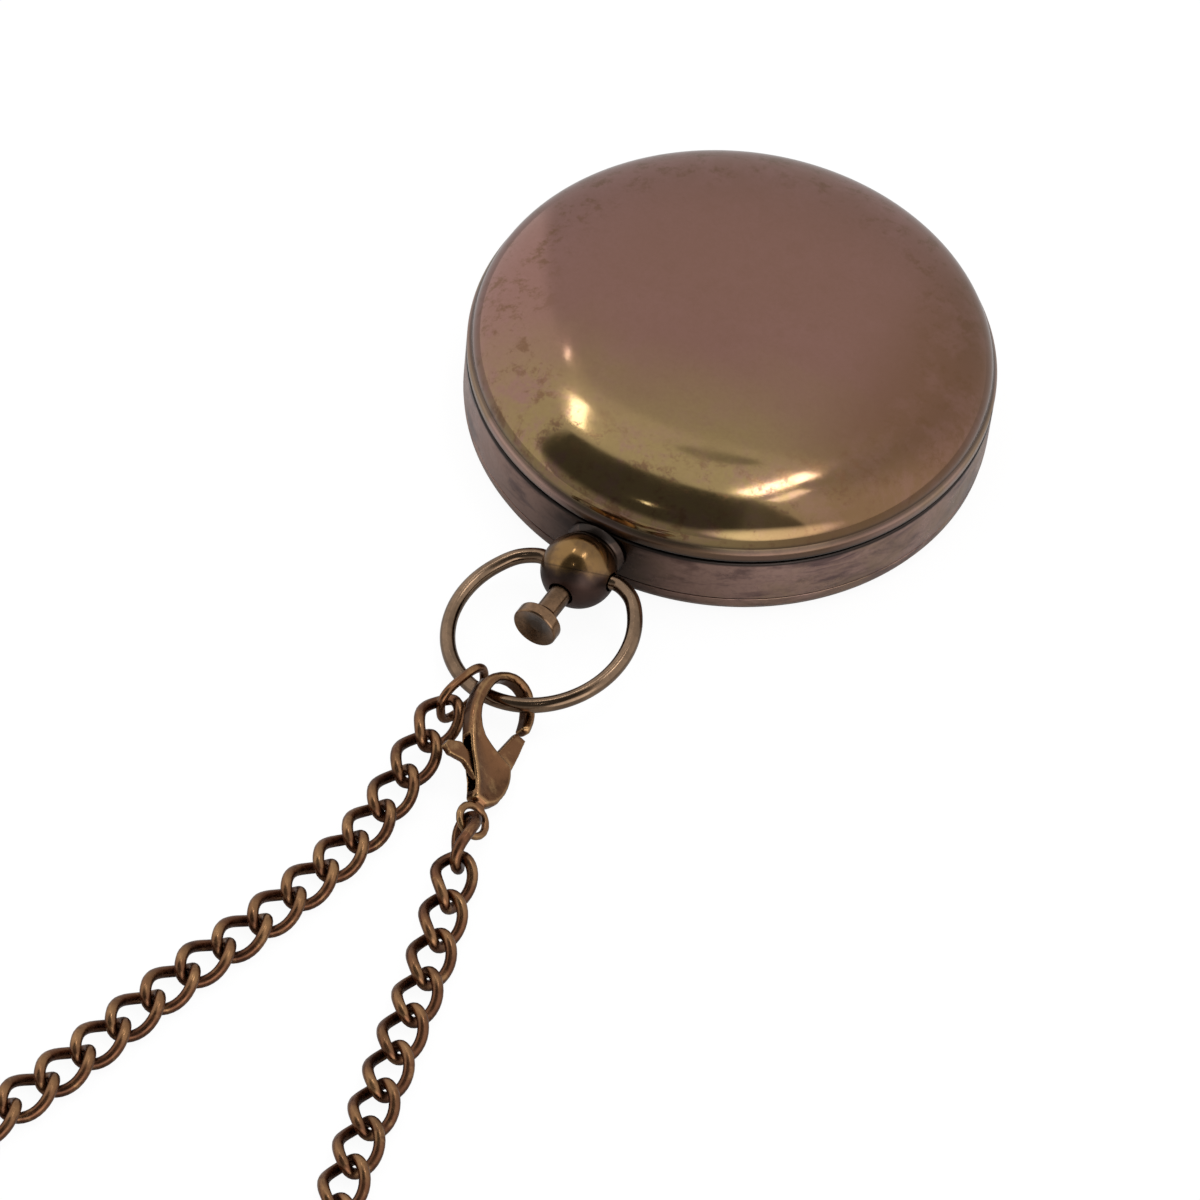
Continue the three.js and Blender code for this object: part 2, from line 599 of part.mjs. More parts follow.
// Pendant: ball, collar, push button and its spring, all about one axis along Y
function makePendant() {
  const pendant = new THREE.Group();
  pendant.position.set(0, ballY, PENDANT_Z);
  compass.add(pendant);
  const wallFace = BALL_OFFSET;
  const neckEnd = wallFace + CASE_WALL - FIT_GAP;
  const stemBore = STEM_RADIUS + FIT_GAP;
  const tipBore = STEM_TIP_RADIUS + FIT_GAP;
  const mouth = -Math.sqrt(BALL_RADIUS ** 2 - stemBore ** 2);
  const flatRadius = Math.sqrt(BALL_RADIUS ** 2 - BALL_FLAT ** 2);
  const chamberEnd = SPRING_CHAMBER / 2;
  const from = Math.atan2(mouth, stemBore);
  const to = Math.atan2(BALL_FLAT, flatRadius);
  const ballSteps = 9;
  const ballArc = Array.from({ length: ballSteps + 1 }, (_, step) => {
    const angle = from + ((to - from) * step) / ballSteps;
    return [BALL_RADIUS * Math.cos(angle), BALL_RADIUS * Math.sin(angle)];
  });
  const ballProfile = [
    ...ballArc,
    [NECK_RADIUS, BALL_FLAT],
    [NECK_RADIUS, neckEnd],
    [tipBore, neckEnd],
    [tipBore, chamberEnd],
    [SPRING_BORE, chamberEnd],
    [SPRING_BORE, -chamberEnd],
    [stemBore, -chamberEnd],
    ballArc[0],
  ];
  const boreRadius = BOW_WIRE + FIT_GAP;
  const boreEnd = BALL_RADIUS - BOW_END_DEPTH - FIT_GAP;
  const crossBores = [-1, 1].map((side) => {
    const start = side < 0 ? -BALL_RADIUS - 1 : boreEnd;
    const bore = bar("x", boreRadius, start, start + BALL_RADIUS + 1 - boreEnd, [0, 0, 0]);
    return bore.rotateY(-BOW_LEAN * RADIANS);
  });
  addPiece(pendant, "pendant_ball", cut(turnedAboutY(ballProfile, 20), ...crossBores), "brass");

  const collar = [
    [NECK_RADIUS + FIT_GAP, BALL_FLAT + SEAT_GAP],
    [COLLAR_RADIUS - 0.35, BALL_FLAT + SEAT_GAP],
    [COLLAR_RADIUS, BALL_FLAT + 0.4],
    [COLLAR_RADIUS, wallFace - SEAT_GAP],
    [NECK_RADIUS + FIT_GAP, wallFace - SEAT_GAP],
    [NECK_RADIUS + FIT_GAP, BALL_FLAT + SEAT_GAP],
  ];
  addPiece(pendant, "pendant_collar", turnedAboutY(collar, 24), "brass");

  const face = -(BALL_RADIUS + BUTTON_STANDOFF);
  const headBack = face + BUTTON_HEAD_THICKNESS;
  const flangeFront = -chamberEnd + SEAT_GAP;
  const flangeBack = flangeFront + STEM_FLANGE;
  const flangeRadius = SPRING_BORE - FIT_GAP;
  const stepDown = flangeBack + 1.2;
  const catchFace = lipInside - RUN_GAP;
  const tip = -ballY - catchFace - RUN_GAP;
  const button = [
    [0, face + BUTTON_DISH],
    [BUTTON_HEAD_RADIUS * 0.55, face + BUTTON_DISH * 0.75],
    [BUTTON_HEAD_RADIUS - 0.12, face],
    [BUTTON_HEAD_RADIUS, face + 0.15],
    [BUTTON_HEAD_RADIUS, headBack - 0.1],
    [BUTTON_HEAD_RADIUS - 0.15, headBack],
    [STEM_RADIUS + 0.25, headBack + 0.25],
    [STEM_RADIUS, headBack + 0.8],
    [STEM_RADIUS, flangeFront],
    [flangeRadius, flangeFront],
    [flangeRadius, flangeBack],
    [STEM_RADIUS, flangeBack],
    [STEM_RADIUS, stepDown],
    [STEM_TIP_RADIUS, stepDown],
    [STEM_TIP_RADIUS, tip],
    [0, tip],
  ];
  addPiece(pendant, "push_button", turnedAboutY(button, 16), "bowBrass");

  const coilStart = flangeBack + COIL_WIRE + SEAT_GAP;
  const coilLength = chamberEnd - coilStart - COIL_WIRE - SEAT_GAP;
  const coilRadius = (SPRING_BORE + STEM_RADIUS) / 2;
  const coil = wire(new Helix(coilRadius, coilLength, COIL_TURNS), COIL_WIRE, 8 * COIL_TURNS, 5);
  addPiece(pendant, "button_spring", coil.translate(0, coilStart, 0), "springSteel");
  return pendant;
}

// Bow: a ring of wire whose ends turn into the ball's cross bores
function makeBow(pendant) {
  const bow = new THREE.Group();
  bow.rotation.set(BOW_DROOP * RADIANS, -BOW_LEAN * RADIANS, 0, "YXZ");
  pendant.add(bow);
  const endX = BALL_RADIUS - BOW_END_DEPTH;
  const firstAngle = 32; // degrees round the ring from the ball, where the bent ends run into it
  const stepAngle = 16;
  const points = [];
  for (let angle = firstAngle + 12; angle <= 360 - firstAngle - 12; angle += stepAngle) {
    const turn = angle * RADIANS;
    points.push([-BOW_RADIUS * Math.sin(turn), BOW_RADIUS * Math.cos(turn) - BOW_REACH, 0]);
  }
  const bends = [endX, BALL_RADIUS - 0.3, BALL_RADIUS + 0.7].map((x) => [x, 0, 0]);
  const leftEnd = bends.map(([x]) => [-x, 0, 0]);
  const route = [...leftEnd, ...points, ...bends.reverse()].map(vec3);
  const curve = new THREE.CatmullRomCurve3(route, false, "centripetal");
  addPiece(bow, "bow_ring", wire(curve, BOW_WIRE, 48, BOW_SIDES), "bowBrass");
  return bow;
}

// A place on the bow's wire, in the part's frame, by its angle from the far end
function bowPlace(bow, degrees) {
  const turn = degrees * RADIANS;
  const place = new THREE.Vector3(
    BOW_RADIUS * Math.sin(turn),
    -BOW_REACH - BOW_RADIUS * Math.cos(turn),
    0,
  );
  bow.updateWorldMatrix(true, false);
  return bow.localToWorld(place);
}

// Lobster clasp, drawn in its own plane: x across, y from the tail to the hook, origin at the bow wire
const CLASP_BODY = {
  outside: [
    [2.75, -2.4], [3.05, -0.9], [2.8, 0.7], [1.95, 2.2], [0.3, 2.8], [-1.5, 2.2],
    [-3.1, 0.7], [-3.85, -1.4], [-3.95, -4.0], [-3.4, -6.9], [-2.3, -9.6], [-1.95, -11.6],
  ],
  belly: [[-0.4, -11.9], [0.7, -11.1], [1.45, -9.6], [1.7, -8.0], [1.45, -6.6]],
  inside: [
    [-0.4, -5.9], [-2.05, -4.85], [-2.8, -2.9], [-2.5, -0.8], [-1.45, 1.2], [0.25, 1.8],
    [1.65, 1.1], [2.05, -0.7], [1.9, -2.3],
  ],
};
const CLASP_LEVER = {
  gate: [[-0.3, -6.2], [1.5, -2.8], [2.7, -3.05], [2.2, -5.2], [1.7, -7.0]],
  hub: [[1.2, -8.8], [0.3, -9.6], [-1.9, -9.6]],
  tab: [[-3.5, -8.5], [-5.2, -8.6], [-5.95, -8.05], [-5.6, -7.3], [-4.2, -6.8], [-3.0, -7.4], [-1.3, -7.1]],
};
const CLASP_PIVOT = [0.3, -8.5];
const CLASP_EYELET = [-1.2, -13.6];
const CLASP_SLOT_ENDS = [-10.8, -5.7];
const CLASP_SPRING = [[-1.1, -10.4], [0.1, -10.3], [0.9, -9.9]];

function makeClasp(bow) {
  const clasp = new THREE.Group();
  clasp.position.copy(bowPlace(bow, CLASP_ON_BOW));
  clasp.rotation.set(CLASP_PITCH * RADIANS, CLASP_ROLL * RADIANS, CLASP_HEADING * RADIANS, "ZXY");
  clasp.translateY(CLASP_SLIP);
  compass.add(clasp);

  const { outside, belly, inside } = CLASP_BODY;
  const shape = new THREE.Shape();
  shape.moveTo(...outside[0]);
  shape.splineThru(outside.slice(1).map(vec2));
  shape.lineTo(...belly[0]);
  shape.splineThru(belly.slice(1).map(vec2));
  shape.lineTo(...inside[0]);
  shape.splineThru(inside.slice(1).map(vec2));
  const body = new THREE.ExtrudeGeometry(shape, {
    depth: CLASP_THICKNESS - 2 * CLASP_BEVEL,
    curveSegments: 2,
    bevelEnabled: true,
    bevelThickness: CLASP_BEVEL,
    bevelSize: CLASP_BEVEL,
    bevelOffset: -CLASP_BEVEL,
    bevelSegments: 2,
  }).translate(0, 0, CLASP_BEVEL - CLASP_THICKNESS / 2);
  const eyelet = new THREE.TorusGeometry(EYELET_RADIUS, EYELET_WIRE, 6, 16);
  eyelet.translate(...CLASP_EYELET, 0);
  const [slotLow, slotHigh] = CLASP_SLOT_ENDS;
  const slot = block([-9, slotLow, -CLASP_SLOT / 2], [9, slotHigh, CLASP_SLOT / 2]);
  const pivot = [...CLASP_PIVOT, 0];
  const pinBore = bar("z", CLASP_PIN_RADIUS + FIT_GAP, -CLASP_THICKNESS, CLASP_THICKNESS, pivot, 10);
  addPiece(clasp, "clasp_body", cut(join(body, eyelet), slot, pinBore), "claspCopper");

  const { gate, hub, tab } = CLASP_LEVER;
  const lever = plate(outline([...gate, ...hub, ...tab]), LEVER_THICKNESS);
  addPiece(clasp, "clasp_lever", cut(lever, pinBore), "claspCopper");

  const halfPin = CLASP_THICKNESS / 2 + SEAT_GAP;
  const pin = bar("z", CLASP_PIN_RADIUS, -halfPin, halfPin, pivot, 10);
  addPiece(clasp, "clasp_pin", pin, "claspCopper");
  const leaf = new THREE.CatmullRomCurve3(CLASP_SPRING.map(([x, y]) => new THREE.Vector3(x, y, 0)));
  addPiece(clasp, "clasp_spring", wire(leaf, COIL_WIRE, 8, 5), "springSteel");
  return clasp;
}

// An oval ring in its own XY plane, long in X, twisted about X
class OvalLink extends THREE.Curve {
  constructor(halfLength, halfWidth, twist = 0, power = 2) {
    super();
    this.halfLength = halfLength;
    this.halfWidth = halfWidth;
    this.twist = twist;
    this.power = power;
  }
  getPoint(share) {
    const turn = 2 * Math.PI * share;
    const round = (value) => Math.sign(value) * Math.abs(value) ** (2 / this.power);
    const across = this.halfWidth * round(Math.sin(turn));
    const lean = this.twist * Math.cos(turn);
    return new THREE.Vector3(
      this.halfLength * round(Math.cos(turn)),
      across * Math.cos(lean),
      across * Math.sin(lean),
    );
  }
}

// Jump ring: stands on edge on the table with the bow wire through its near end
function makeJumpRing(bow) {
  const group = new THREE.Group();
  const heading = JUMP_HEADING * RADIANS;
  const along = new THREE.Vector3(Math.sin(heading), -Math.cos(heading), 0);
  const standing = JUMP_HALF_WIDTH * Math.cos(JUMP_LEAN * RADIANS) + JUMP_WIRE + SEAT_GAP;
  group.position.copy(bowPlace(bow, JUMP_ON_BOW)).addScaledVector(along, JUMP_OVERHANG);
  group.position.z = standing;
  group.rotation.set((90 - JUMP_LEAN) * RADIANS, 0, heading - Math.PI / 2, "ZYX");
  compass.add(group);
  const oval = new OvalLink(JUMP_HALF_LENGTH, JUMP_HALF_WIDTH, 0, JUMP_POWER);
  const geometry = new THREE.TubeGeometry(oval, 20, JUMP_WIRE, 6, true);
  addPiece(group, "jump_ring", geometry, "claspCopper");
  return { place: group.position, along };
}

// The chain's route on the table, from the jump ring round to the clasp, in the part's frame.
// The far bend is half a turn of a round loop, worked out from its middle and radius.
const LEFT_ROUTE = [
  [-2.1, -60.3], [-2.6, -66.3], [-3.5, -71.3], [-4.8, -76.8], [-6.5, -82.3], [-8, -88.2],
  [-9.5, -94.7], [-11.15, -101.1], [-13.2, -107.2], [-16, -114],
];
const RIGHT_ROUTE = [
  [22, -114], [18.6, -104], [16, -95], [14.2, -87.5], [12.2, -79.5], [10.2, -71.5],
];
const LOOP_MIDDLE = [2.5, -130];
const LOOP_RADIUS = 22.5;

function chainRoute(start, end) {
  const table = (points) => points.map(([x, y]) => new THREE.Vector3(x, y, CHAIN_Z));
  const bend = [];
  for (let angle = 180; angle <= 360; angle += 30) {
    const turn = angle * RADIANS;
    bend.push([
      LOOP_MIDDLE[0] + LOOP_RADIUS * Math.cos(turn),
      LOOP_MIDDLE[1] + LOOP_RADIUS * Math.sin(turn),
    ]);
  }
  const points = [start, ...table([...LEFT_ROUTE, ...bend, ...RIGHT_ROUTE]), end];
  const route = new THREE.CatmullRomCurve3(points, false, "centripetal");
  route.arcLengthDivisions = 1200;
  return route;
}

// A link's place on the route: along the chain in X, level across
function linkMatrix(route, distance, length, roll = 0) {
  const share = distance / length;
  const along = route.getTangentAt(share);
  const across = new THREE.Vector3(0, 0, 1).cross(along).normalize();
  const up = along.clone().cross(across);
  const matrix = new THREE.Matrix4().makeBasis(along, across, up);
  matrix.multiply(new THREE.Matrix4().makeRotationX(roll * RADIANS));
  return matrix.setPosition(route.getPointAt(share));
}

function makeChain(jump, clasp) {
  const hookIn = (ring, ringWire) => ring - ringWire - LINK_WIRE - LINK_PLAY;
  const start = jump.place.clone();
  start.addScaledVector(jump.along, hookIn(JUMP_HALF_LENGTH, JUMP_WIRE));
  const onward = new THREE.Vector3(...LEFT_ROUTE[0], start.z).sub(start).normalize();
  start.addScaledVector(onward, LINK_HALF_LENGTH);

  clasp.updateWorldMatrix(true, false);
  const eyelet = clasp.localToWorld(new THREE.Vector3(...CLASP_EYELET, 0));
  const tail = new THREE.Vector3(RIGHT_ROUTE.at(-1)[0], RIGHT_ROUTE.at(-1)[1], eyelet.z);
  const away = tail.sub(eyelet).setZ(0).normalize();
  const end = eyelet.clone().addScaledVector(away, hookIn(EYELET_RADIUS, EYELET_WIRE) + LINK_HALF_LENGTH);

  const route = chainRoute(start, end);
  const length = route.getLength();
  const newLink = (twist = LINK_TWIST) => {
    const oval = new OvalLink(LINK_HALF_LENGTH, LINK_HALF_WIDTH, twist * RADIANS);
    return new THREE.TubeGeometry(oval, LINK_STEPS, LINK_WIRE, LINK_SIDES, true);
  };
  const addLink = (number, distance, roll, twist) => {
    const name = "chain_link_" + String(number).padStart(2, "0");
    const link = addPiece(compass, name, newLink(twist), "chainBrown");
    link.applyMatrix4(linkMatrix(route, distance, length, roll));
    const lowest = new THREE.Box3().setFromObject(link, true).min.z;
    link.position.z += Math.max(TABLE_GAP - lowest, 0);
  };
  for (let link = 0; link < LEFT_LINKS; link++) addLink(link + 1, link * LINK_PITCH, START_ROLLS[link]);
  for (let link = 0; link < RIGHT_LINKS; link++) {
    const fromEnd = RIGHT_LINKS - 1 - link;
    const roll = END_ROLLS[END_ROLLS.length - 1 - fromEnd];
    const twist = fromEnd === 0 ? END_TWIST : LINK_TWIST;
    addLink(LEFT_LINKS + link + 1, length - fromEnd * LINK_PITCH, roll, twist);
  }

  // The rest of the chain is drawn tight, so its links touch and make one piece
  const loopStart = LEFT_LINKS * LINK_PITCH;
  const loopEnd = length - RIGHT_LINKS * LINK_PITCH;
  const gaps = Math.round((loopEnd - loopStart) / TAUT_PITCH);
  const links = Array.from({ length: gaps + 1 }, (_, link) => {
    const distance = loopStart + ((loopEnd - loopStart) * link) / gaps;
    return newLink().applyMatrix4(linkMatrix(route, distance, length));
  });
  addPiece(compass, "chain_loop", join(...links), "chainBrown");
}

makeBack();
makeCaseBody();
makeCompass();
makeSundial();
makeLid();
makeHinge();
makeWallSprings();
const bow = makeBow(makePendant());
makeChain(makeJumpRing(bow), makeClasp(bow));

export default compass;
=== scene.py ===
import math

import bmesh
import bpy
import numpy as np
from bpy.props import FloatProperty, FloatVectorProperty, IntProperty, PointerProperty
from bpy.types import NodeSocket, Operator, Panel, PropertyGroup
from mathutils import Matrix, Vector
from mathutils.kdtree import KDTree


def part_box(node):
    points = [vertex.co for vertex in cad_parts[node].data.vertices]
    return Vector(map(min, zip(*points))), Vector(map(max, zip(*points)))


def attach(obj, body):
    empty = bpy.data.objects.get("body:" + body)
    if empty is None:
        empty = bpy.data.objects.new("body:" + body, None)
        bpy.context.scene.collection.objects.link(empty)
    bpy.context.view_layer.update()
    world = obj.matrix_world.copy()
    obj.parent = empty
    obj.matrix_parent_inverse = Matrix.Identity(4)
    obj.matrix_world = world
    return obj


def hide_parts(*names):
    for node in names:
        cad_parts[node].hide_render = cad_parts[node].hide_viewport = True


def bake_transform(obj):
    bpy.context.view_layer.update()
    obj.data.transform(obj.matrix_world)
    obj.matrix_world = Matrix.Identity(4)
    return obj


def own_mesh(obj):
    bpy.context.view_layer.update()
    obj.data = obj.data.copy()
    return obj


bl_info = {
    "name": "Pocket sundial compass",
    "version": (1, 0, 0),
    "blender": (4, 5, 0),
    "location": "3D View > Sidebar > Sundial",
    "description": "Dresses the solid frame of a pocket sundial compass with its finished pieces",
    "category": "Add Mesh",
}

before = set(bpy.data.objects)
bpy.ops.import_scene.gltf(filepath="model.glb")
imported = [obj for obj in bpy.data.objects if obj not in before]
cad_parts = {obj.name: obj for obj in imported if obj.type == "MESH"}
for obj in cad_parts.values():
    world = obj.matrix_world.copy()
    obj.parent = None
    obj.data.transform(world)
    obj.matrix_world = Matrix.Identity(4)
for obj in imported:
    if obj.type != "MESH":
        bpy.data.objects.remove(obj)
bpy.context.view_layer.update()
MM = 0.001
CASE_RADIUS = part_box("case_back")[1].x / MM
LID_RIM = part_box("lid")[0].z / MM
LINK_NODES = sorted(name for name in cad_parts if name.startswith("chain_link_"))


def measure(name, description, millimetres):
    return FloatProperty(name=name, description=description, default=millimetres * MM, unit="LENGTH")


def colour(name, default):
    return FloatVectorProperty(name=name, description=name, default=default, subtype="COLOR", min=0, max=1)


class CaseSizes(PropertyGroup):
    radius: measure("Case radius", "Outside of the wall", CASE_RADIUS)
    wall: measure("Case wall", "Wall thickness", 1.2)
    bevel: measure("Back bevel", "Flat underside inside the wall", 1.5)
    band: measure("Back band", "Height of the back's band", 2.2)
    lid_band: measure("Lid band", "Height of the lid's plain band", 1.35)
    lid_step: measure("Lid step", "Dome's foot inside the band", 0.45)
    dome: measure("Dome height", "Crown above the dome's foot", 5.1)
    sides: IntProperty(name="Turned sides", description="Segments of turned pieces", default=192, min=24)


class PendantSizes(PropertyGroup):
    ball: measure("Ball radius", "Pendant ball", 3.55)
    collar: measure("Collar radius", "Ring at the wall", 3.05)
    button: measure("Button radius", "Head of the push button", 2.18)
    bow_wire: measure("Bow wire", "Radius of the bow's wire", 0.72)
    bow: measure("Bow radius", "Middle of the bow's wire", 8.65)


class ChainSizes(PropertyGroup):
    half_length: measure("Link half length", "Along the chain", 2.72)
    half_width: measure("Link half width", "Across the chain", 1.75)
    wire: measure("Link wire", "Radius of the wire", 0.52)
    twist: FloatProperty(
        name="Link twist", description="Turn of each end", default=math.radians(-47), subtype="ANGLE"
    )
    pitch: measure("Link pitch", "Link to link", 4.2)
    steps: IntProperty(name="Link steps", description="Points round a link", default=40, min=8)


class Finishes(PropertyGroup):
    lid_mauve: colour("Lid, mauve brown", (0.243, 0.123, 0.093))
    # Olive gold, partly the patina's tone and partly a painted reflection of bright panels on the lid's
    # front
    lid_olive: colour("Lid, olive gold", (0.275, 0.19, 0.077))
    lid_rose: colour("Lid, rose blotches", (0.277, 0.142, 0.12))
    # Brown scuffs on the lid; at half strength also painted shade on the case wall near the pendant
    lid_brown: colour("Lid, brown scuffs", (0.165, 0.08, 0.038))
    case_mauve: colour("Case, mauve brown", (0.4, 0.25, 0.205))
    case_dark: colour("Case, dark blotches", (0.15, 0.09, 0.085))
    case_olive: colour("Case, olive blotches", (0.33, 0.22, 0.14))
    ball_gold: colour("Ball, golden brown", (0.255, 0.147, 0.057))
    # Brown stains on the ball, and its lower half painted dark as shade
    ball_brown: colour("Ball, brown underside", (0.075, 0.044, 0.036))
    bow_brown: colour("Bow, brown brass", (0.235, 0.15, 0.092))
    button_red: colour("Button, red brown", (0.245, 0.14, 0.075))
    # Dark patina in the clasp's hollows, and painted shade on its sides
    clasp_dark: colour("Clasp, hollows", (0.075, 0.036, 0.02))
    clasp_copper: colour("Clasp, copper brown", (0.195, 0.092, 0.044))
    # Worn edges of the clasp, partly a painted highlight
    clasp_worn: colour("Clasp, worn edges", (0.45, 0.27, 0.125))
    # Dark of the chain's crevices, and painted shade on the underside of each link's wire
    chain_dark: colour("Chain, crevices", (0.07, 0.03, 0.018))
    chain_brown: colour("Chain, brown", (0.165, 0.072, 0.037))
    # Worn brass, partly a painted highlight on the upper side of each link's wire
    chain_worn: colour("Chain, worn brass", (0.42, 0.24, 0.11))
    dial_brass: colour("Dial, brass", (0.56, 0.4, 0.17))
    # Ink for print, also used as painted shade near the pendant and below the ball's seam
    ink: colour("Dial, ink", (0.02, 0.016, 0.014))


class StageSettings(PropertyGroup):
    floor: colour("Floor", (0.84, 0.84, 0.84))
    tent: FloatProperty(name="Tent", description="Brightness of the light tent", default=1.0, min=0)
    opening: FloatProperty(
        name="Opening", description="Brightness of the tent's open front", default=0.14, min=0
    )


def in_mm(group, *names):
    """Some of a group's lengths, in millimetres"""
    return [getattr(group, name) / MM for name in names]


# Meshes: a bmesh is in millimetres until it is finished as a mesh in metres

ON_AXIS = {
    "X": Matrix.Rotation(math.pi / 2, 4, "Y"),
    "Y": Matrix.Rotation(-math.pi / 2, 4, "X"),
    "Z": Matrix.Identity(4),
}
BAR_SIDES = 48


def shade(mesh, sharp=32):
    """Smooth shading, with hard edges kept above an angle in degrees"""
    mesh.shade_smooth()
    mesh.set_sharp_from_angle(angle=math.radians(sharp))
    return mesh


def finish_mesh(bm, sharp=32):
    mesh = bpy.data.meshes.new("blank")
    bmesh.ops.recalc_face_normals(bm, faces=bm.faces)
    bm.transform(Matrix.Scale(MM, 4))
    bm.to_mesh(mesh)
    bm.free()
    return shade(mesh, sharp)


def polar(radius, turn):
    return radius * math.cos(turn), radius * math.sin(turn)


def both_sides(low, high):
    """A stretch and its mirror image about the middle"""
    return ((-high, -low), (low, high))


def skin(bm, near, far):
    """Faces between two closed rows of points, either of which may be a single point"""
    count = max(len(near), len(far))
    for step in range(count):
        after = (step + 1) % count
        first = (near[step % len(near)], near[after % len(near)])
        second = (far[after % len(far)], far[step % len(far)])
        corners = list(dict.fromkeys(first + second))
        if len(corners) > 2:
            bm.faces.new(corners)


def stack(bm, rows, capped=True):
    """Joins closed rows of points, one after the other"""
    for near, far in zip(rows, rows[1:]):
        skin(bm, near, far)
    if capped:
        bm.faces.new(rows[0])
        bm.faces.new(rows[-1])


def lathe(profile, sides, axis="Z", place=(0, 0, 0)):
    """A closed profile of (radius, height) points turned about an axis"""
    bm = bmesh.new()
    turns = [2 * math.pi * step / sides for step in range(sides)]
    rings = []
    for radius, height in profile:
        around = turns if radius else turns[:1]
        rings.append([bm.verts.new((*polar(radius, turn), height)) for turn in around])
    stack(bm, rings + rings[:1], capped=False)
    bm.transform(Matrix.Translation(place) @ ON_AXIS[axis])
    return bm


def rounded(corners, steps=4):
    """A closed profile whose (radius, height, fillet) corners become arcs"""
    points = []
    for index, (radius, height, fillet) in enumerate(corners):
        here = Vector((radius, height))
        before = Vector(corners[index - 1][:2]) - here
        after = Vector(corners[(index + 1) % len(corners)][:2]) - here
        if fillet <= 0:
            points.append((radius, height))
            continue
        half = before.angle(after) / 2
        reach = min(fillet / math.tan(half), 0.45 * before.length, 0.45 * after.length)
        start = here + before.normalized() * reach
        end = here + after.normalized() * reach
        for step in range(steps + 1):
            share = step / steps
            spot = start * (1 - share) ** 2 + here * 2 * share * (1 - share) + end * share**2
            points.append((max(spot.x, 0), spot.y))
    return points


def turned(corners, sides, axis="Z", place=(0, 0, 0)):
    """A mesh turned from (radius, height, fillet) corners"""
    return finish_mesh(lathe(rounded(corners), sides, axis, place))


def hoop(inside, outside, low, high, outer_fillet=0, inner_fillet=0):
    """Corners of a flat ring, with fillets on its upper edges"""
    top = [(outside, high, outer_fillet), (inside, high, inner_fillet)]
    return [(inside, low, 0), (outside, low, 0), *top]


def block(low, high):
    bm = bmesh.new()
    bmesh.ops.create_cube(bm, size=1)
    low, high = Vector(low), Vector(high)
    bm.transform(Matrix.Translation((low + high) / 2) @ Matrix.Diagonal((*(high - low), 1)))
    return bm


def bar(axis, radius, start, end, centre=(0, 0, 0)):
    """A round bar along X, Y or Z between two places on that axis"""
    bm = bmesh.new()
    size = {"radius1": radius, "radius2": radius, "depth": end - start}
    bmesh.ops.create_cone(bm, cap_ends=True, segments=BAR_SIDES, **size)
    along = Matrix.Translation((0, 0, (start + end) / 2))
    bm.transform(Matrix.Translation(centre) @ ON_AXIS[axis] @ along)
    return bm


def tube(path, radius, sides, closed=False):
    """A round wire along a path, its section carried along without twist"""
    path = [Vector(point) for point in path]
    ends = (path[-1], path[0]) if closed else (path[0], path[-1])
    along = [ends[0], *path, ends[1]]
    tangents = [(after - before).normalized() for before, after in zip(along, along[2:])]
    side = tangents[0].orthogonal().normalized()
    bm = bmesh.new()
    rings = []
    for place, tangent in zip(path, tangents):
        side = (side - tangent * side.dot(tangent)).normalized()
        other = tangent.cross(side)
        ring = []
        for step in range(sides):
            across, up = polar(radius, 2 * math.pi * step / sides)
            ring.append(bm.verts.new(place + side * across + other * up))
        rings.append(ring)
    if closed:
        first, last = rings[0], rings[-1]
        shift = min(range(sides), key=lambda step: (first[step].co - last[0].co).length)
        rings.append(first[shift:] + first[:shift])
    stack(bm, rings, capped=not closed)
    return bm


def curve_through(points, per_segment):
    """Points along a centripetal spline through the given ones"""
    points = [np.array(point, float) for point in points]
    points = [2 * points[0] - points[1], *points, 2 * points[-1] - points[-2]]
    made = []
    for zero, one, two, three in zip(points, points[1:], points[2:], points[3:]):
        gaps = [np.linalg.norm(b - a) ** 0.5 for a, b in ((zero, one), (one, two), (two, three))]
        leave = (one - zero) / gaps[0] - (two - zero) / (gaps[0] + gaps[1]) + (two - one) / gaps[1]
        arrive = (two - one) / gaps[1] - (three - one) / (gaps[1] + gaps[2]) + (three - two) / gaps[2]
        leave, arrive = leave * gaps[1], arrive * gaps[1]
        bend = -3 * one + 3 * two - 2 * leave - arrive
        swing = 2 * one - 2 * two + leave + arrive
        for step in range(per_segment):
            t = step / per_segment
            made.append(one + leave * t + bend * t**2 + swing * t**3)
    return np.array([*made, points[-2]])


def placed(data, name):
    """An object in the scene that shows some data"""
    obj = bpy.data.objects.new(name, data)
    bpy.context.scene.collection.objects.link(obj)
    return obj


def evaluated(obj):
    """The plain mesh that an object's modifiers make; the object is removed"""
    depsgraph = bpy.context.evaluated_depsgraph_get()
    mesh = bpy.data.meshes.new_from_object(obj.evaluated_get(depsgraph), depsgraph=depsgraph)
    bpy.data.objects.remove(obj)
    return mesh


def modified(mesh, kind, **settings):
    """The plain mesh that one modifier makes of a mesh"""
    obj = placed(mesh, "blank")
    modifier = obj.modifiers.new("change", kind)
    for name, value in settings.items():
        setattr(modifier, name, value)
    return evaluated(obj)


def combine(mesh, tools, operation):
    """Cuts tools from a mesh, or joins them to it"""
    for tool in tools:
        helper = placed(finish_mesh(tool), "tool")
        mesh = modified(mesh, "BOOLEAN", operation=operation, solver="EXACT", object=helper)
        bpy.data.objects.remove(helper)
    return shade(mesh)


def merged(meshes):
    bm = bmesh.new()
    for mesh in meshes:
        bm.from_mesh(mesh)
    made = bpy.data.meshes.new("merged")
    bm.to_mesh(made)
    bm.free()
    return made


def mark_points(mesh, name, values):
    mesh.attributes.new(name, "FLOAT", "POINT").data.foreach_set("value", values)
    return mesh


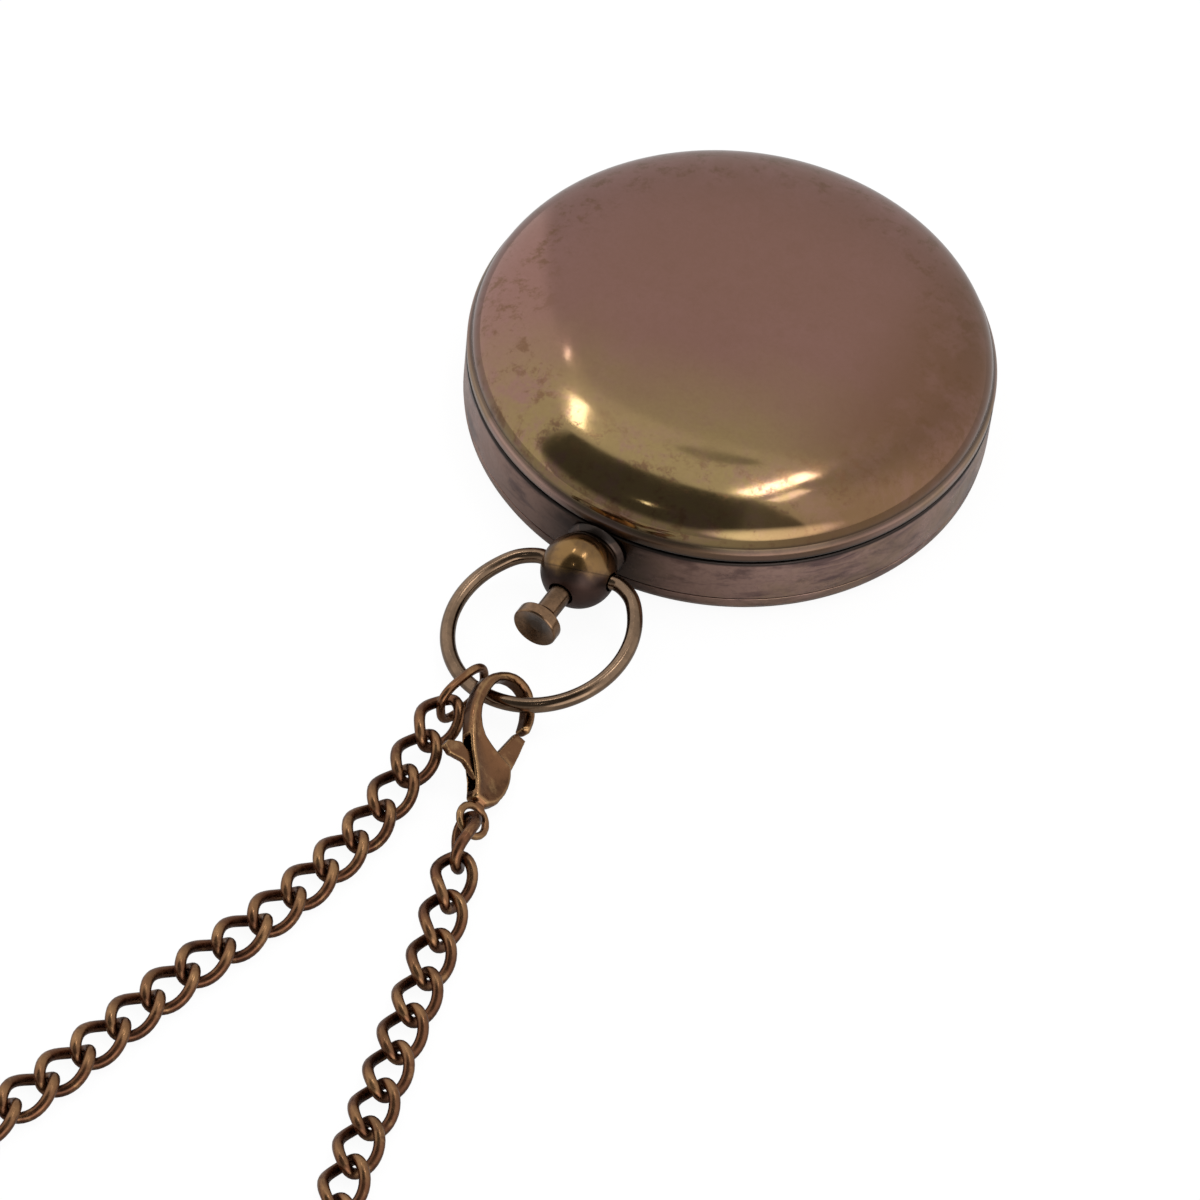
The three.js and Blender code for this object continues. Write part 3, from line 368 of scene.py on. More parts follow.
def mark_rise(mesh, rounds=3):
    """Stores how far each point stands proud of the points around it"""
    count = len(mesh.vertices)
    places = np.empty(count * 3)
    normals = np.empty(count * 3)
    ends = np.empty(len(mesh.edges) * 2, int)
    mesh.vertices.foreach_get("co", places)
    mesh.vertices.foreach_get("normal", normals)
    mesh.edges.foreach_get("vertices", ends)
    places, normals = places.reshape(-1, 3), normals.reshape(-1, 3)
    one, two = ends.reshape(-1, 2).T
    near = np.bincount(one, minlength=count) + np.bincount(two, minlength=count)

    def around(values):
        total = np.bincount(one, values[two], count) + np.bincount(two, values[one], count)
        return total / near

    offset = places - np.stack([around(places[:, axis]) for axis in range(3)], axis=1)
    rise = (offset * normals).sum(axis=1)
    for _ in range(rounds):
        rise = (rise + around(rise)) / 2
    return mark_points(mesh, "rise", rise / np.percentile(np.abs(rise), 96))


def cast_copy(node, voxel, rounds, added=(), cut=(), reshape=None):
    """A copy of a solid with soft cast edges, with pieces added and cut and its points moved"""
    bm = bmesh.new()
    bm.from_mesh(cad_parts[node].data)
    bmesh.ops.remove_doubles(bm, verts=bm.verts, dist=0.001 * MM)
    mesh = bpy.data.meshes.new(node)
    bm.to_mesh(mesh)
    bm.free()
    mesh = combine(combine(mesh, added, "UNION"), cut, "DIFFERENCE")
    mesh = modified(mesh, "REMESH", mode="VOXEL", voxel_size=voxel * MM)
    if reshape:
        reshape(mesh)
    mesh = modified(mesh, "SMOOTH", factor=0.5, iterations=rounds)
    return mark_rise(shade(mesh, 60))


def solid_copy(node):
    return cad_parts[node].data.copy()


def paint(mesh, material):
    mesh.materials.clear()
    mesh.materials.append(material)


def piece(name, mesh, material, body, slot, *nodes):
    """A finished piece that rides on a body and stands for some of the solids"""
    obj = placed(mesh, name)
    mesh.name = name
    paint(mesh, material)
    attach(obj, body)
    if nodes:
        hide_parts(*nodes)
    return obj


def dress(material, *nodes):
    """Gives solids that stay in view a finished material"""
    for node in nodes:
        paint(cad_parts[node].data, material)


# Materials: x, y, z and spot are in millimetres, and noise scales are per metre

PENDANT_FOOT = (0, -25, 5)
BALL_SEAM = (-0.246, 0.735, 0.633)
BUTTON_DISH = (0.25, -36.2, 5.3)
DOME_FOOT = (8.6, 9.1)
STEEL = (0.5, 0.51, 0.53)
MATERIALS = {}


class Graph:
    """A node tree while it is being wired"""

    def __init__(self, tree):
        self.tree = tree
        tree.nodes.clear()

    def add(self, kind, values=None, **settings):
        made = self.tree.nodes.new(kind)
        for name, value in settings.items():
            setattr(made, name, value)
        for socket, value in (values or {}).items():
            target = made.inputs[socket]
            if isinstance(value, NodeSocket):
                self.tree.links.new(value, target)
            else:
                target.default_value = (*value, 1) if target.type == "RGBA" else value
        return made

    def out(self, kind, values=None, output=0, **settings):
        """One output of a new node"""
        return self.add(kind, values, **settings).outputs[output]

    def math(self, operation, *values):
        return self.out("ShaderNodeMath", dict(enumerate(values)), operation=operation)

    def times(self, one, two):
        return self.math("MULTIPLY", one, two)

    def plus(self, one, two):
        return self.math("ADD", one, two)

    def minus(self, one, two):
        return self.math("SUBTRACT", one, two)

    def larger(self, one, two):
        return self.math("MAXIMUM", one, two)

    def dot(self, one, two):
        return self.out("ShaderNodeVectorMath", {0: one, 1: two}, "Value", operation="DOT_PRODUCT")

    def span(self, value, low, high, to_low=0.0, to_high=1.0):
        """A value mapped from low..high, held at the ends"""
        values = {"Value": value, 1: low, 2: high, 3: to_low, 4: to_high}
        return self.out("ShaderNodeMapRange", values, interpolation_type="SMOOTHSTEP")

    def mix(self, factor, one, two):
        return self.out("ShaderNodeMix", {0: factor, 6: one, 7: two}, 2, data_type="RGBA")


class Metal(Graph):
    """A surface on the piece's own coordinates, whose tone is built up in layers"""

    def __init__(self, name):
        self.material = bpy.data.materials.new(name)
        self.material.use_nodes = True
        super().__init__(self.material.node_tree)
        self.place = self.out("ShaderNodeTexCoord", output="Object")
        self.spot = self.out("ShaderNodeVectorMath", {0: self.place, "Scale": 1 / MM}, operation="SCALE")
        self.x, self.y, self.z = self.add("ShaderNodeSeparateXYZ", {0: self.spot}).outputs
        self.tone = None

    def radius(self):
        """Distance from the case's axis"""
        return self.math("SQRT", self.plus(self.times(self.x, self.x), self.times(self.y, self.y)))

    def gap_to(self, place):
        return self.out("ShaderNodeVectorMath", {0: self.spot, 1: place}, "Value", operation="DISTANCE")

    def stretched(self, scale):
        return self.out("ShaderNodeMapping", {"Vector": self.place, "Scale": scale})

    def stored(self, name):
        return self.out("ShaderNodeAttribute", output="Fac", attribute_name=name)

    def noise(self, scale, detail=4, roughness=0.6, distortion=0, place=None):
        values = {"Vector": self.place if place is None else place, "Scale": scale, "Detail": detail}
        values.update({"Roughness": roughness, "Distortion": distortion})
        return self.out("ShaderNodeTexNoise", values)

    def stain(self, amount, tone):
        """Lays a tone over the present one"""
        self.tone = self.mix(amount, self.tone, tone)

    def rough(self, scale, low, high, detail=4):
        return self.span(self.noise(scale, detail), 0.3, 0.7, low, high)

    def bump(self, height, strength, distance):
        values = {"Height": height, "Strength": strength, "Distance": distance * MM}
        return self.out("ShaderNodeBump", values)

    def finish(self, rough, normal=None, metallic=1, coat=0, coat_roughness=0.08, more=None):
        values = {"Base Color": self.tone, "Roughness": rough, "Metallic": metallic, **(more or {})}
        values.update({"Coat Weight": coat, "Coat Roughness": coat_roughness})
        if normal is not None:
            values["Normal"] = normal
        shader = self.out("ShaderNodeBsdfPrincipled", values)
        self.add("ShaderNodeOutputMaterial", {"Surface": shader})
        return self.material


def shaded_tone(tone, share):
    return tuple(value * share for value in tone)


def grime(m, near=2.5, far=9, most=0.75):
    """Painted shade gathers near the pendant"""
    return m.span(m.gap_to(PENDANT_FOOT), near, far, most, 0)


def lid_patina(tones):
    """Heat-toned brass under clear lacquer: mauve on the crown, olive gold towards the pendant, the olive
    partly a painted reflection of the tent's bright panels
    """
    m = Metal("lid_patina")
    shoulder = m.span(m.radius(), 15, 21)
    toward = m.minus(m.times(m.x, 0.2), m.times(m.y, 0.98))
    cloud = m.noise(90, 5, 0.6, 0.4)
    wander = m.times(m.minus(cloud, 0.5), 14)
    # Olive gold towards the front, partly the patina's own tone and partly a painted reflection of the
    # tent's bright panels
    m.tone = m.mix(m.span(m.plus(toward, wander), 2, 19), tones.lid_mauve, tones.lid_olive)
    m.stain(m.span(m.x, -20, -9, 0.6, 0), tones.lid_rose)
    m.stain(m.span(m.x, 9, 20, 0, 0.75), tones.lid_brown)
    blotch = m.span(m.noise(190, 8, 0.74, 0.2), 0.47, 0.64)
    blotch = m.times(blotch, m.span(m.x, 4, 19, 1, 0.4))
    m.stain(m.times(blotch, m.span(shoulder, 0, 1, 0.25, 0.8)), tones.lid_rose)
    scuff = m.span(m.noise(480, 10, 0.8, 0.1), 0.5, 0.62)
    scuff = m.times(scuff, m.span(shoulder, 0, 1, 0.1, 0.8))
    m.stain(scuff, tones.lid_brown)
    m.stain(m.span(m.noise(2600, 3), 0.35, 0.65, 0, 0.1), tones.lid_brown)
    crown = m.tone
    m.tone = m.mix(m.span(cloud, 0.4, 0.6), tones.case_mauve, tones.case_olive)
    worn = m.times(m.span(m.x, 0, 5, 0, 0.8), m.span(m.x, 19, 25, 1, 0.2))
    m.stain(m.times(worn, m.span(m.y, -8, 0, 1, 0)), shaded_tone(tones.lid_brown, 0.5))
    # Painted shade near the pendant, together with the dark parting line at the lid's rim
    m.stain(m.larger(grime(m), m.span(m.z, 7.6, 8.05, 0.95, 0)), tones.ink)
    m.stain(m.span(m.z, *DOME_FOOT), crown)
    crease = m.times(m.span(m.z, 8.5, 8.8), m.span(m.z, 8.92, 9.3, 1, 0))
    m.stain(m.times(crease, 0.6), tones.ink)
    rough = m.plus(m.rough(300, 0.07, 0.13, 5), m.times(scuff, 0.1))
    rough = m.plus(rough, m.span(m.z, *DOME_FOOT, 0.2, 0))
    return m.finish(rough, m.bump(m.noise(1800, 3, 0.5), 0.05, 0.02), coat=0.3, coat_roughness=0.06)


def case_patina(tones):
    """Satin brown-mauve wall with dark and olive stains that run round it"""
    m = Metal("case_patina")
    streak = m.noise(2.2, 6, 0.62, 0.5, m.stretched((60, 60, 190)))
    m.tone = m.mix(m.span(streak, 0.44, 0.62), tones.case_mauve, tones.case_dark)
    m.stain(m.span(m.noise(130, 5, 0.6, 0.3), 0.5, 0.7, 0, 0.8), tones.case_olive)
    m.stain(m.span(m.noise(2400, 3), 0.4, 0.68, 0, 0.22), tones.case_dark)
    m.stain(m.span(m.z, 0.2, 2.6, 0.45, 0), tones.case_olive)
    # Painted shade on the wall near the pendant, brown farther out and near-black close in, together with
    # the dark parting line under the lid
    m.stain(grime(m, 6, 19, 0.5), shaded_tone(tones.lid_brown, 0.5))
    m.stain(m.larger(grime(m), m.span(m.z, 6.8, 7.15, 0, 0.95)), tones.ink)
    normal = m.bump(m.noise(900, place=m.stretched((1, 1, 9))), 0.12, 0.02)
    return m.finish(m.rough(420, 0.26, 0.4, 5), normal, coat=0.15, coat_roughness=0.2)


def ball_brass(tones):
    """Golden upper half and a brown lower half painted dark as shade, with a worn joint between them"""
    m = Metal("ball_brass")
    from_middle = m.out("ShaderNodeVectorMath", {0: m.spot, 1: BALL_MIDDLE}, operation="SUBTRACT")
    height = m.dot(from_middle, BALL_SEAM)
    ragged = m.times(m.minus(m.noise(450, 6, 0.65), 0.5), 3)
    upper = m.span(m.plus(height, ragged), -0.9, 0.4)
    # The lower half is painted dark brown as shade
    m.tone = m.mix(upper, tones.ball_brown, tones.ball_gold)
    m.stain(m.span(m.noise(380, 5, 0.6, 0.4), 0.45, 0.7, 0, 0.6), tones.ball_brown)
    # A painted band of shade just below the seam
    m.stain(m.span(m.math("ABSOLUTE", m.plus(height, 0.75)), 0.2, 0.95, 0.6, 0), tones.ink)
    m.stain(m.span(m.x, 0.9, 2.8, 0, 0.3), tones.ball_brown)
    m.stain(m.span(m.math("ABSOLUTE", height), 0.02, 0.12, 0.4, 0), tones.ink)
    rough = m.plus(m.rough(900, 0, 0.1), m.span(upper, 0, 1, 0.34, 0.13))
    return m.finish(rough, m.bump(m.noise(2200), 0.05, 0.03))


def aged_brass(name, tone, dark_share, scale, rough, grain, dish=None):
    """Brass with soft brown clouding and a fine grain, with painted shade in a dish about a place"""
    m = Metal(name)
    dark = shaded_tone(tone, dark_share)
    m.tone = m.mix(m.span(m.noise(scale, 5, 0.6, 0.4), 0.38, 0.7, 0, 0.85), tone, dark)
    m.stain(m.span(m.noise(scale * 9, 3), 0.42, 0.7, 0, 0.35), dark)
    if dish:
        # Painted shade in the dish
        m.stain(m.span(m.gap_to(dish), 0.8, 1.85, 0.95, 0), dark)
    normal = m.bump(m.noise(scale * 7), grain, 0.03)
    return m.finish(m.rough(scale * 3, *rough), normal, coat=0.2, coat_roughness=0.12)


def rubbed_metal(name, three_tones, limits, scale, rough):
    """Antiqued metal: dark patina in its hollows and wear on proud parts, with painted shade on undersides
    and sides and a painted highlight on proud parts
    """
    m = Metal(name)
    # dark is patina and painted shade; worn is wear and a painted highlight
    dark, plain, worn = three_tones
    # Stored rise plus noise: on the clasp how proud a point stands, on the chain the wire's height in its
    # link, so wear together with painted highlight and shade
    wear_and_light = m.plus(m.stored("rise"), m.times(m.minus(m.noise(scale), 0.5), 0.9))
    m.tone = m.mix(m.span(wear_and_light, *limits[:2]), dark, plain)
    m.stain(m.span(m.noise(scale * 0.6, 5, 0.65, 0.6), 0.48, 0.7, 0, 0.75), dark)
    m.stain(m.span(m.noise(scale * 1.4, 6, 0.7, 0.3), 0.5, 0.68, 0, 0.45), worn)
    # Painted shade on the clasp's sides, from the stored side attribute
    m.stain(m.times(m.stored("side"), 0.7), dark)
    # Worn bright where proud, partly a painted highlight
    m.stain(m.span(wear_and_light, *limits[2:], 0, 0.85), worn)
    return m.finish(m.rough(1500, *rough), m.bump(m.noise(2600), 0.16, 0.03))


def dial_brass(tones):
    """Bright brass with turned brushing"""
    m = Metal("dial_brass")
    line = m.out("ShaderNodeCombineXYZ", {0: m.times(m.radius(), 9), 1: m.times(m.z, MM)})
    brush = m.noise(1, 2, 0.5, place=line)
    cloud = m.span(m.noise(240, 5, 0.6, 0.4), 0.4, 0.75, 0, 0.55)
    m.tone = m.mix(cloud, tones.dial_brass, tones.lid_olive)
    return m.finish(m.span(brush, 0.3, 0.7, 0.2, 0.36), m.bump(brush, 0.12, 0.01))


def clouded(name, one, two, scale, detail=4, low=0.4):
    """A surface that drifts between two tones, and the cloud that it follows"""
    m = Metal(name)
    cloud = m.noise(scale, detail)
    m.tone = m.mix(m.span(cloud, low, 0.7), one, two)
    return m, cloud


def spring_steel():
    m, cloud = clouded("spring_steel", STEEL, shaded_tone(STEEL, 0.6), 700)
    return m.finish(m.span(cloud, 0.3, 0.7, 0.2, 0.3125))


def needle_blue():
    """Blued steel on the north half, bright steel on the south half"""
    m, cloud = clouded("needle_blue", (0.02, 0.05, 0.16), (0.04, 0.035, 0.12), 500, low=0.35)
    m.stain(m.span(m.y, -0.2, 0.2), (0.52, 0.53, 0.55))
    return m.finish(m.span(cloud, 0.3, 0.7, 0.18, 0.32))


def card_paper():
    """Cream enamel plate with a faint tooth"""
    m, _ = clouded("card_paper", (0.78, 0.72, 0.58), (0.7, 0.62, 0.46), 160, 5)
    return m.finish(0.55, m.bump(m.noise(3000, 3), 0.1, 0.02), metallic=0)


def ink_black(tones):
    m, _ = clouded("ink_black", tones.ink, shaded_tone(tones.ink, 2.4), 900)
    return m.finish(0.5, metallic=0)


def clear_glass():
    m, _ = clouded("clear_glass", (1, 1, 1), (0.97, 0.985, 0.98), 120, 3)
    return m.finish(0.02, metallic=0, more={"Transmission Weight": 1, "IOR": 1.5})


def materials():
    """The finishes, made once from the scene's settings"""
    if not MATERIALS:
        tones = bpy.context.scene.sundial_finishes
        clasp = (tones.clasp_dark, tones.clasp_copper, tones.clasp_worn)
        chain = (tones.chain_dark, tones.chain_brown, tones.chain_worn)
        red = tones.button_red
        MATERIALS.update(
            lid=lid_patina(tones),
            case=case_patina(tones),
            ball=ball_brass(tones),
            bow=aged_brass("bow_brass", tones.bow_brown, 0.45, 220, (0.12, 0.2), 0.02),
            button=aged_brass("button_brass", red, 0.2, 300, (0.2, 0.3), 0.03, BUTTON_DISH),
            clasp=rubbed_metal("clasp_copper", clasp, (-0.8, -0.2, 0.35, 1.3), 330, (0.18, 0.3)),
            chain=rubbed_metal("chain_brown", chain, (-0.55, 0.25, 0.3, 1.05), 420, (0.22, 0.38)),
            brass=dial_brass(tones),
            steel=spring_steel(),
            needle=needle_blue(),
            card=card_paper(),
            ink=ink_black(tones),
            glass=clear_glass(),
        )
    return MATERIALS


# Camera, tent and floor

CAMERA_PLACE = (0.1588, -0.3628, 0.4512)
CAMERA_RIGHT = (0.8632, 0.4997, 0.0717)
CAMERA_DOWN = (0.4272, -0.6475, -0.6310)
CAMERA_FORWARD = (-0.2689, 0.5754, -0.7724)
CAMERA_LENS = 189.57
CAMERA_CLIP = (0.02, 50)
SENSOR_WIDTH = 36
CEILING = 1.2
PANEL_WAY = (0.7, -0.62, 0.36)
LAMPS = (
    ("strip_left", (-0.487, 0.215), (0.078, 0.23), 7.0, 0),
    ("strip_right", (0.085, 0.2), (0.08, 0.31), 9.0, -9.5),
    ("strip_far", (0.195, 0.12), (0.07, 0.18), 3.5, 0),
    ("spark_left", (-0.575, 0.497), (0.015, 0.06), 8.0, 0),
    ("spark_front", (-0.115, -0.566), (0.035, 0.09), 8.0, 0),
)
FLOOR_HALF = 3000
FLOOR_DROP = 0.02
FLOOR_GLOW = 1.1
FLOOR_GLOW_SHARE = 0.84


def add_camera():
    data = bpy.data.cameras.new("camera")
    data.lens = CAMERA_LENS
    data.sensor_width = SENSOR_WIDTH
    data.clip_start, data.clip_end = CAMERA_CLIP
    camera = placed(data, "camera")
    axes = [Vector(CAMERA_RIGHT), -Vector(CAMERA_DOWN), -Vector(CAMERA_FORWARD)]
    turn = Matrix([axis.normalized() for axis in axes]).transposed().to_4x4()
    camera.matrix_world = Matrix.Translation(CAMERA_PLACE) @ turn
    bpy.context.scene.camera = camera


def add_lamp(name, place, size, radiance, turn):
    """A flat lamp in the tent's ceiling; its place is in shares of the ceiling's height"""
    data = bpy.data.lights.new(name, "AREA")
    data.shape = "RECTANGLE"
    data.size, data.size_y = size
    data.energy = radiance * math.pi * size[0] * size[1]
    lamp = placed(data, name)
    lamp.visible_camera = False
    lamp.location = Vector((*place, 1)) * CEILING
    lamp.rotation_euler.z = math.radians(turn)


def add_tent(settings):
    """A box tent as shiny metal sees it, bright with a dark open front, and plain light for the rest"""
    world = bpy.data.worlds.new("tent")
    world.use_nodes = True
    bpy.context.scene.world = world
    g = Graph(world.node_tree)
    way = g.out("ShaderNodeTexCoord", output="Generated")
    x, y, z = g.add("ShaderNodeSeparateXYZ", {0: way}).outputs
    azimuth = g.times(g.math("ARCTAN2", x, g.times(y, -1)), 180 / math.pi)
    up = g.larger(z, 0.02)
    across = g.math("DIVIDE", x, up)
    ahead = g.math("DIVIDE", y, up)

    def window(value, low, high, soft):
        inside = g.span(value, low - soft, low + soft)
        return g.times(inside, g.span(value, high - soft, high + soft, 1, 0))

    def blend(factor, one, two):
        return g.out("ShaderNodeMix", {0: factor, 2: one, 3: two})

    def square(value, middle_of, half):
        share = g.math("DIVIDE", g.minus(value, middle_of), half)
        return g.times(share, share)

    back = g.span(z, 0.3, 0.9, 0.84, 1.06)
    left = blend(g.span(azimuth, -134, -130), back, 1.28)
    right = blend(g.span(azimuth, 150, 170), g.span(azimuth, 100, 152, 1.4, 0.95), back)
    level = blend(g.span(azimuth, -20, 40), left, right)
    ceiling = g.times(window(across, -0.53, 0.12, 0.015), window(ahead, 0.05, 0.43, 0.012))
    level = blend(ceiling, level, 1.35)
    tilted = g.minus(ahead, g.times(across, 0.15))
    hole = g.plus(square(across, -0.15, 0.085), square(tilted, 0.3675, 0.035))
    level = blend(g.span(hole, 0.8, 1.15, 1, 0), level, 0.6)
    slope = g.minus(0.06, ahead)
    left_edge = g.span(g.plus(across, g.times(slope, 0.78)), -0.53, -0.48)
    right_edge = g.span(g.minus(across, g.times(slope, 1.7)), 0.06, 0.13, 1, 0)
    opening = g.times(g.span(ahead, 0.035, 0.055, 1, 0), g.times(left_edge, right_edge))
    flap = g.span(g.minus(across, g.times(slope, 0.63)), 0.03, 0.1)
    dim = blend(flap, settings.opening, settings.opening + 0.19)
    dim = g.plus(dim, g.span(z, 0.3, 0.65, 0.42, 0))
    level = blend(opening, level, dim)
    level = g.plus(level, g.span(g.dot(way, PANEL_WAY), 0.885, 0.985, 0, 2.6))
    rays = g.add("ShaderNodeLightPath").outputs
    white = g.larger(rays["Is Camera Ray"], rays["Is Transmission Ray"])
    shiny = g.larger(white, rays["Is Glossy Ray"])
    seen = blend(white, g.times(level, settings.tent), 1.0)
    background = g.out("ShaderNodeBackground", {"Strength": blend(shiny, 0.85, seen)})
    g.add("ShaderNodeOutputWorld", {"Surface": background})


def add_floor(settings):
    """A matt floor that glows white to the camera"""
    bm = bmesh.new()
    bmesh.ops.create_grid(bm, x_segments=1, y_segments=1, size=FLOOR_HALF)
    bm.transform(Matrix.Translation((0, 0, -FLOOR_DROP)))
    floor = placed(finish_mesh(bm), "floor")
    material = bpy.data.materials.new("floor_white")
    material.use_nodes = True
    g = Graph(material.node_tree)
    matt = g.out("ShaderNodeBsdfDiffuse", {"Color": settings.floor})
    glow = g.out("ShaderNodeEmission", {"Color": (1, 1, 1), "Strength": FLOOR_GLOW})
    share = g.times(g.out("ShaderNodeLightPath", output="Is Camera Ray"), FLOOR_GLOW_SHARE)
    surface = g.out("ShaderNodeMixShader", {0: share, 1: matt, 2: glow})
    g.add("ShaderNodeOutputMaterial", {"Surface": surface})
    paint(floor.data, material)


class SUNDIAL_OT_stage(Operator):
    """Camera at the photograph's angle, light tent, softboxes and white floor"""

    bl_idname = "sundial.stage"
    bl_label = "Stage"

    def execute(self, context):
        settings = context.scene.sundial_stage
        context.scene.view_settings.view_transform = "Standard"
        add_camera()
        add_tent(settings)
        add_floor(settings)
        for lamp in LAMPS:
            add_lamp(*lamp)
        return {"FINISHED"}


# Chain: its route is in millimetres on the table, and its links are placed in metres

LEFT_ROUTE = [
    (-2.1, -60.3), (-2.6, -66.3), (-3.5, -71.3), (-4.8, -76.8), (-6.5, -82.3),
    (-8, -88.2), (-9.5, -94.7), (-11.15, -101.1), (-13.2, -107.2), (-16, -114),
]
RIGHT_ROUTE = [(22, -114), (18.6, -104), (16, -95), (14.2, -87.5), (12.2, -79.5), (10.2, -71.5)]
LOOP_MIDDLE = (2.5, -130)
LOOP_RADIUS = 22.5
CHAIN_Z = 1.2
ROUTE_STEPS = 40
TAUT_PITCH = 4.7 * MM
LINK_LIFT = 0.17 * MM
LINK_REACH = 0.2 * MM
WIRE_SIDES = 14
START_ROLLS = (-20, -10) + (0,) * 13
END_ROLLS = (0,) * 7 + (9, 18, 27, -75)
END_TWIST = math.radians(30)


def middle(node):
    low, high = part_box(node)
    return (low + high) / 2


def chain_route():
    """The chain's centre line on the table, from the jump ring round to the clasp, in metres"""
    bend = []
    for angle in range(180, 361, 30):
        x, y = polar(LOOP_RADIUS, math.radians(angle))
        bend.append((LOOP_MIDDLE[0] + x, LOOP_MIDDLE[1] + y))
    table = [(x * MM, y * MM, CHAIN_Z * MM) for x, y in [*LEFT_ROUTE, *bend, *RIGHT_ROUTE]]
    return curve_through([middle(LINK_NODES[0]), *table, middle(LINK_NODES[-1])], ROUTE_STEPS)


def link_places(pitch, route):
    """Centre and turn of each link, and the route's length"""
    steps = np.linalg.norm(np.diff(route, axis=0), axis=1)
    run = np.concatenate([[0], np.cumsum(steps)])
    length = run[-1]

    def spot(distance):
        return Vector([np.interp(distance, run, route[:, axis]) for axis in range(3)])

    def turn(distance, roll):
        along = (spot(distance + LINK_REACH) - spot(distance - LINK_REACH)).normalized()
        across = Vector((0, 0, 1)).cross(along).normalized()
        basis = Matrix([along, across, along.cross(across)]).transposed()
        return (basis @ Matrix.Rotation(math.radians(roll), 3, "X")).to_euler()

    start, end = len(START_ROLLS), len(END_ROLLS)
    places = [(number * pitch, roll, LINK_NODES[number]) for number, roll in enumerate(START_ROLLS)]
    first, last = start * pitch, length - end * pitch
    gaps = round((last - first) / TAUT_PITCH)
    places += [(first + (last - first) * step / gaps, 0, None) for step in range(gaps + 1)]
    for number, roll in enumerate(END_ROLLS):
        places.append((length - (end - 1 - number) * pitch, roll, LINK_NODES[start + number]))
    made = []
    for distance, roll, node in places:
        centre = spot(distance)
        if node:
            centre.z = middle(node).z
        centre.z += LINK_LIFT
        made.append((centre, turn(distance, roll)))
    return made, length


class Copies(Graph):
    """A geometry tree that puts copies of one shape on oriented points"""

    def __init__(self, name, inputs):
        tree = bpy.data.node_groups.new(name, "GeometryNodeTree")
        super().__init__(tree)
        self.keys = {}
        for label, kind in {"Geometry": "Geometry", **inputs}.items():
            socket = tree.interface.new_socket(label, in_out="INPUT", socket_type="NodeSocket" + kind)
            self.keys[label] = socket.identifier
        tree.interface.new_socket("Geometry", in_out="OUTPUT", socket_type="NodeSocketGeometry")
        self.given = self.add("NodeGroupInput").outputs

    def spread(self, shape):
        """Ends the tree with plain copies of a shape, each turned as its point says"""
        turn = self.out("GeometryNodeInputNamedAttribute", {"Name": "turn"}, data_type="FLOAT_VECTOR")
        spin = self.out("FunctionNodeEulerToRotation", {0: turn})
        values = {"Points": self.given["Geometry"], "Instance": shape, "Rotation": spin}
        copies = self.out("GeometryNodeInstanceOnPoints", values)
        self.add("NodeGroupOutput", {0: self.out("GeometryNodeRealizeInstances", {0: copies})})
        return self

    def grown(self, places, values):
        """The plain mesh of copies on places, each a point and its turn, in metres"""
        mesh = bpy.data.meshes.new("points")
        mesh.from_pydata([tuple(centre) for centre, _ in places], [], [])
        turns = mesh.attributes.new("turn", "FLOAT_VECTOR", "POINT")
        turns.data.foreach_set("vector", [value for _, euler in places for value in euler])
        obj = placed(mesh, "points")
        modifier = obj.modifiers.new("copies", "NODES")
        modifier.node_group = self.tree
        for label, value in values.items():
            modifier[self.keys[label]] = value
        return evaluated(obj)


def curb_links():
    """Twisted oval links of round wire"""
    floats = dict.fromkeys(("Half Length", "Half Width", "Wire", "Twist"), "Float")
    g = Copies("curb_chain", {**floats, "Steps": "Int"})
    given = g.given
    ring = g.out("GeometryNodeCurvePrimitiveCircle", {"Resolution": given["Steps"], "Radius": 1.0})
    x, y, z = g.add("ShaderNodeSeparateXYZ", {0: g.out("GeometryNodeInputPosition")}).outputs
    lean = g.times(given["Twist"], x)
    across = g.times(given["Half Width"], y)
    values = {
        0: g.times(given["Half Length"], x),
        1: g.times(across, g.math("COSINE", lean)),
        2: g.times(across, g.math("SINE", lean)),
    }
    oval = g.out("ShaderNodeCombineXYZ", values)
    bent = g.out("GeometryNodeSetPosition", {"Geometry": ring, "Position": oval})
    values = {"Resolution": WIRE_SIDES, "Radius": given["Wire"]}
    section = g.out("GeometryNodeCurvePrimitiveCircle", values)
    wire = g.out("GeometryNodeCurveToMesh", {"Curve": bent, "Profile Curve": section})
    # The stored rise is the wire's height in its link: the material paints the upper side lighter as a
    # highlight and the underside darker as shade
    values = {"Geometry": wire, "Name": "rise", "Value": g.math("DIVIDE", z, given["Half Width"])}
    return g.spread(g.out("GeometryNodeStoreNamedAttribute", values))


class SUNDIAL_OT_chain(Operator):
    """Curb chain of twisted links along its route"""

    bl_idname = "sundial.chain"
    bl_label = "Curb chain"

    def execute(self, context):
        sizes = context.scene.sundial_chain
        route = chain_route()
        places, length = link_places(sizes.pitch, route)
        links = curb_links()
        values = {
            "Half Length": sizes.half_length,
            "Half Width": sizes.half_width,
            "Wire": sizes.wire,
            "Twist": sizes.twist,
            "Steps": sizes.steps,
        }
        last = links.grown(places[-1:], {**values, "Twist": END_TWIST})
        mesh = shade(merged([links.grown(places[:-1], values), last]), sharp=60)
        material = materials()["chain"]
        chain = piece("chain", mesh, material, "chain", "chain_brown", *LINK_NODES, "chain_loop")
        return {"FINISHED"}


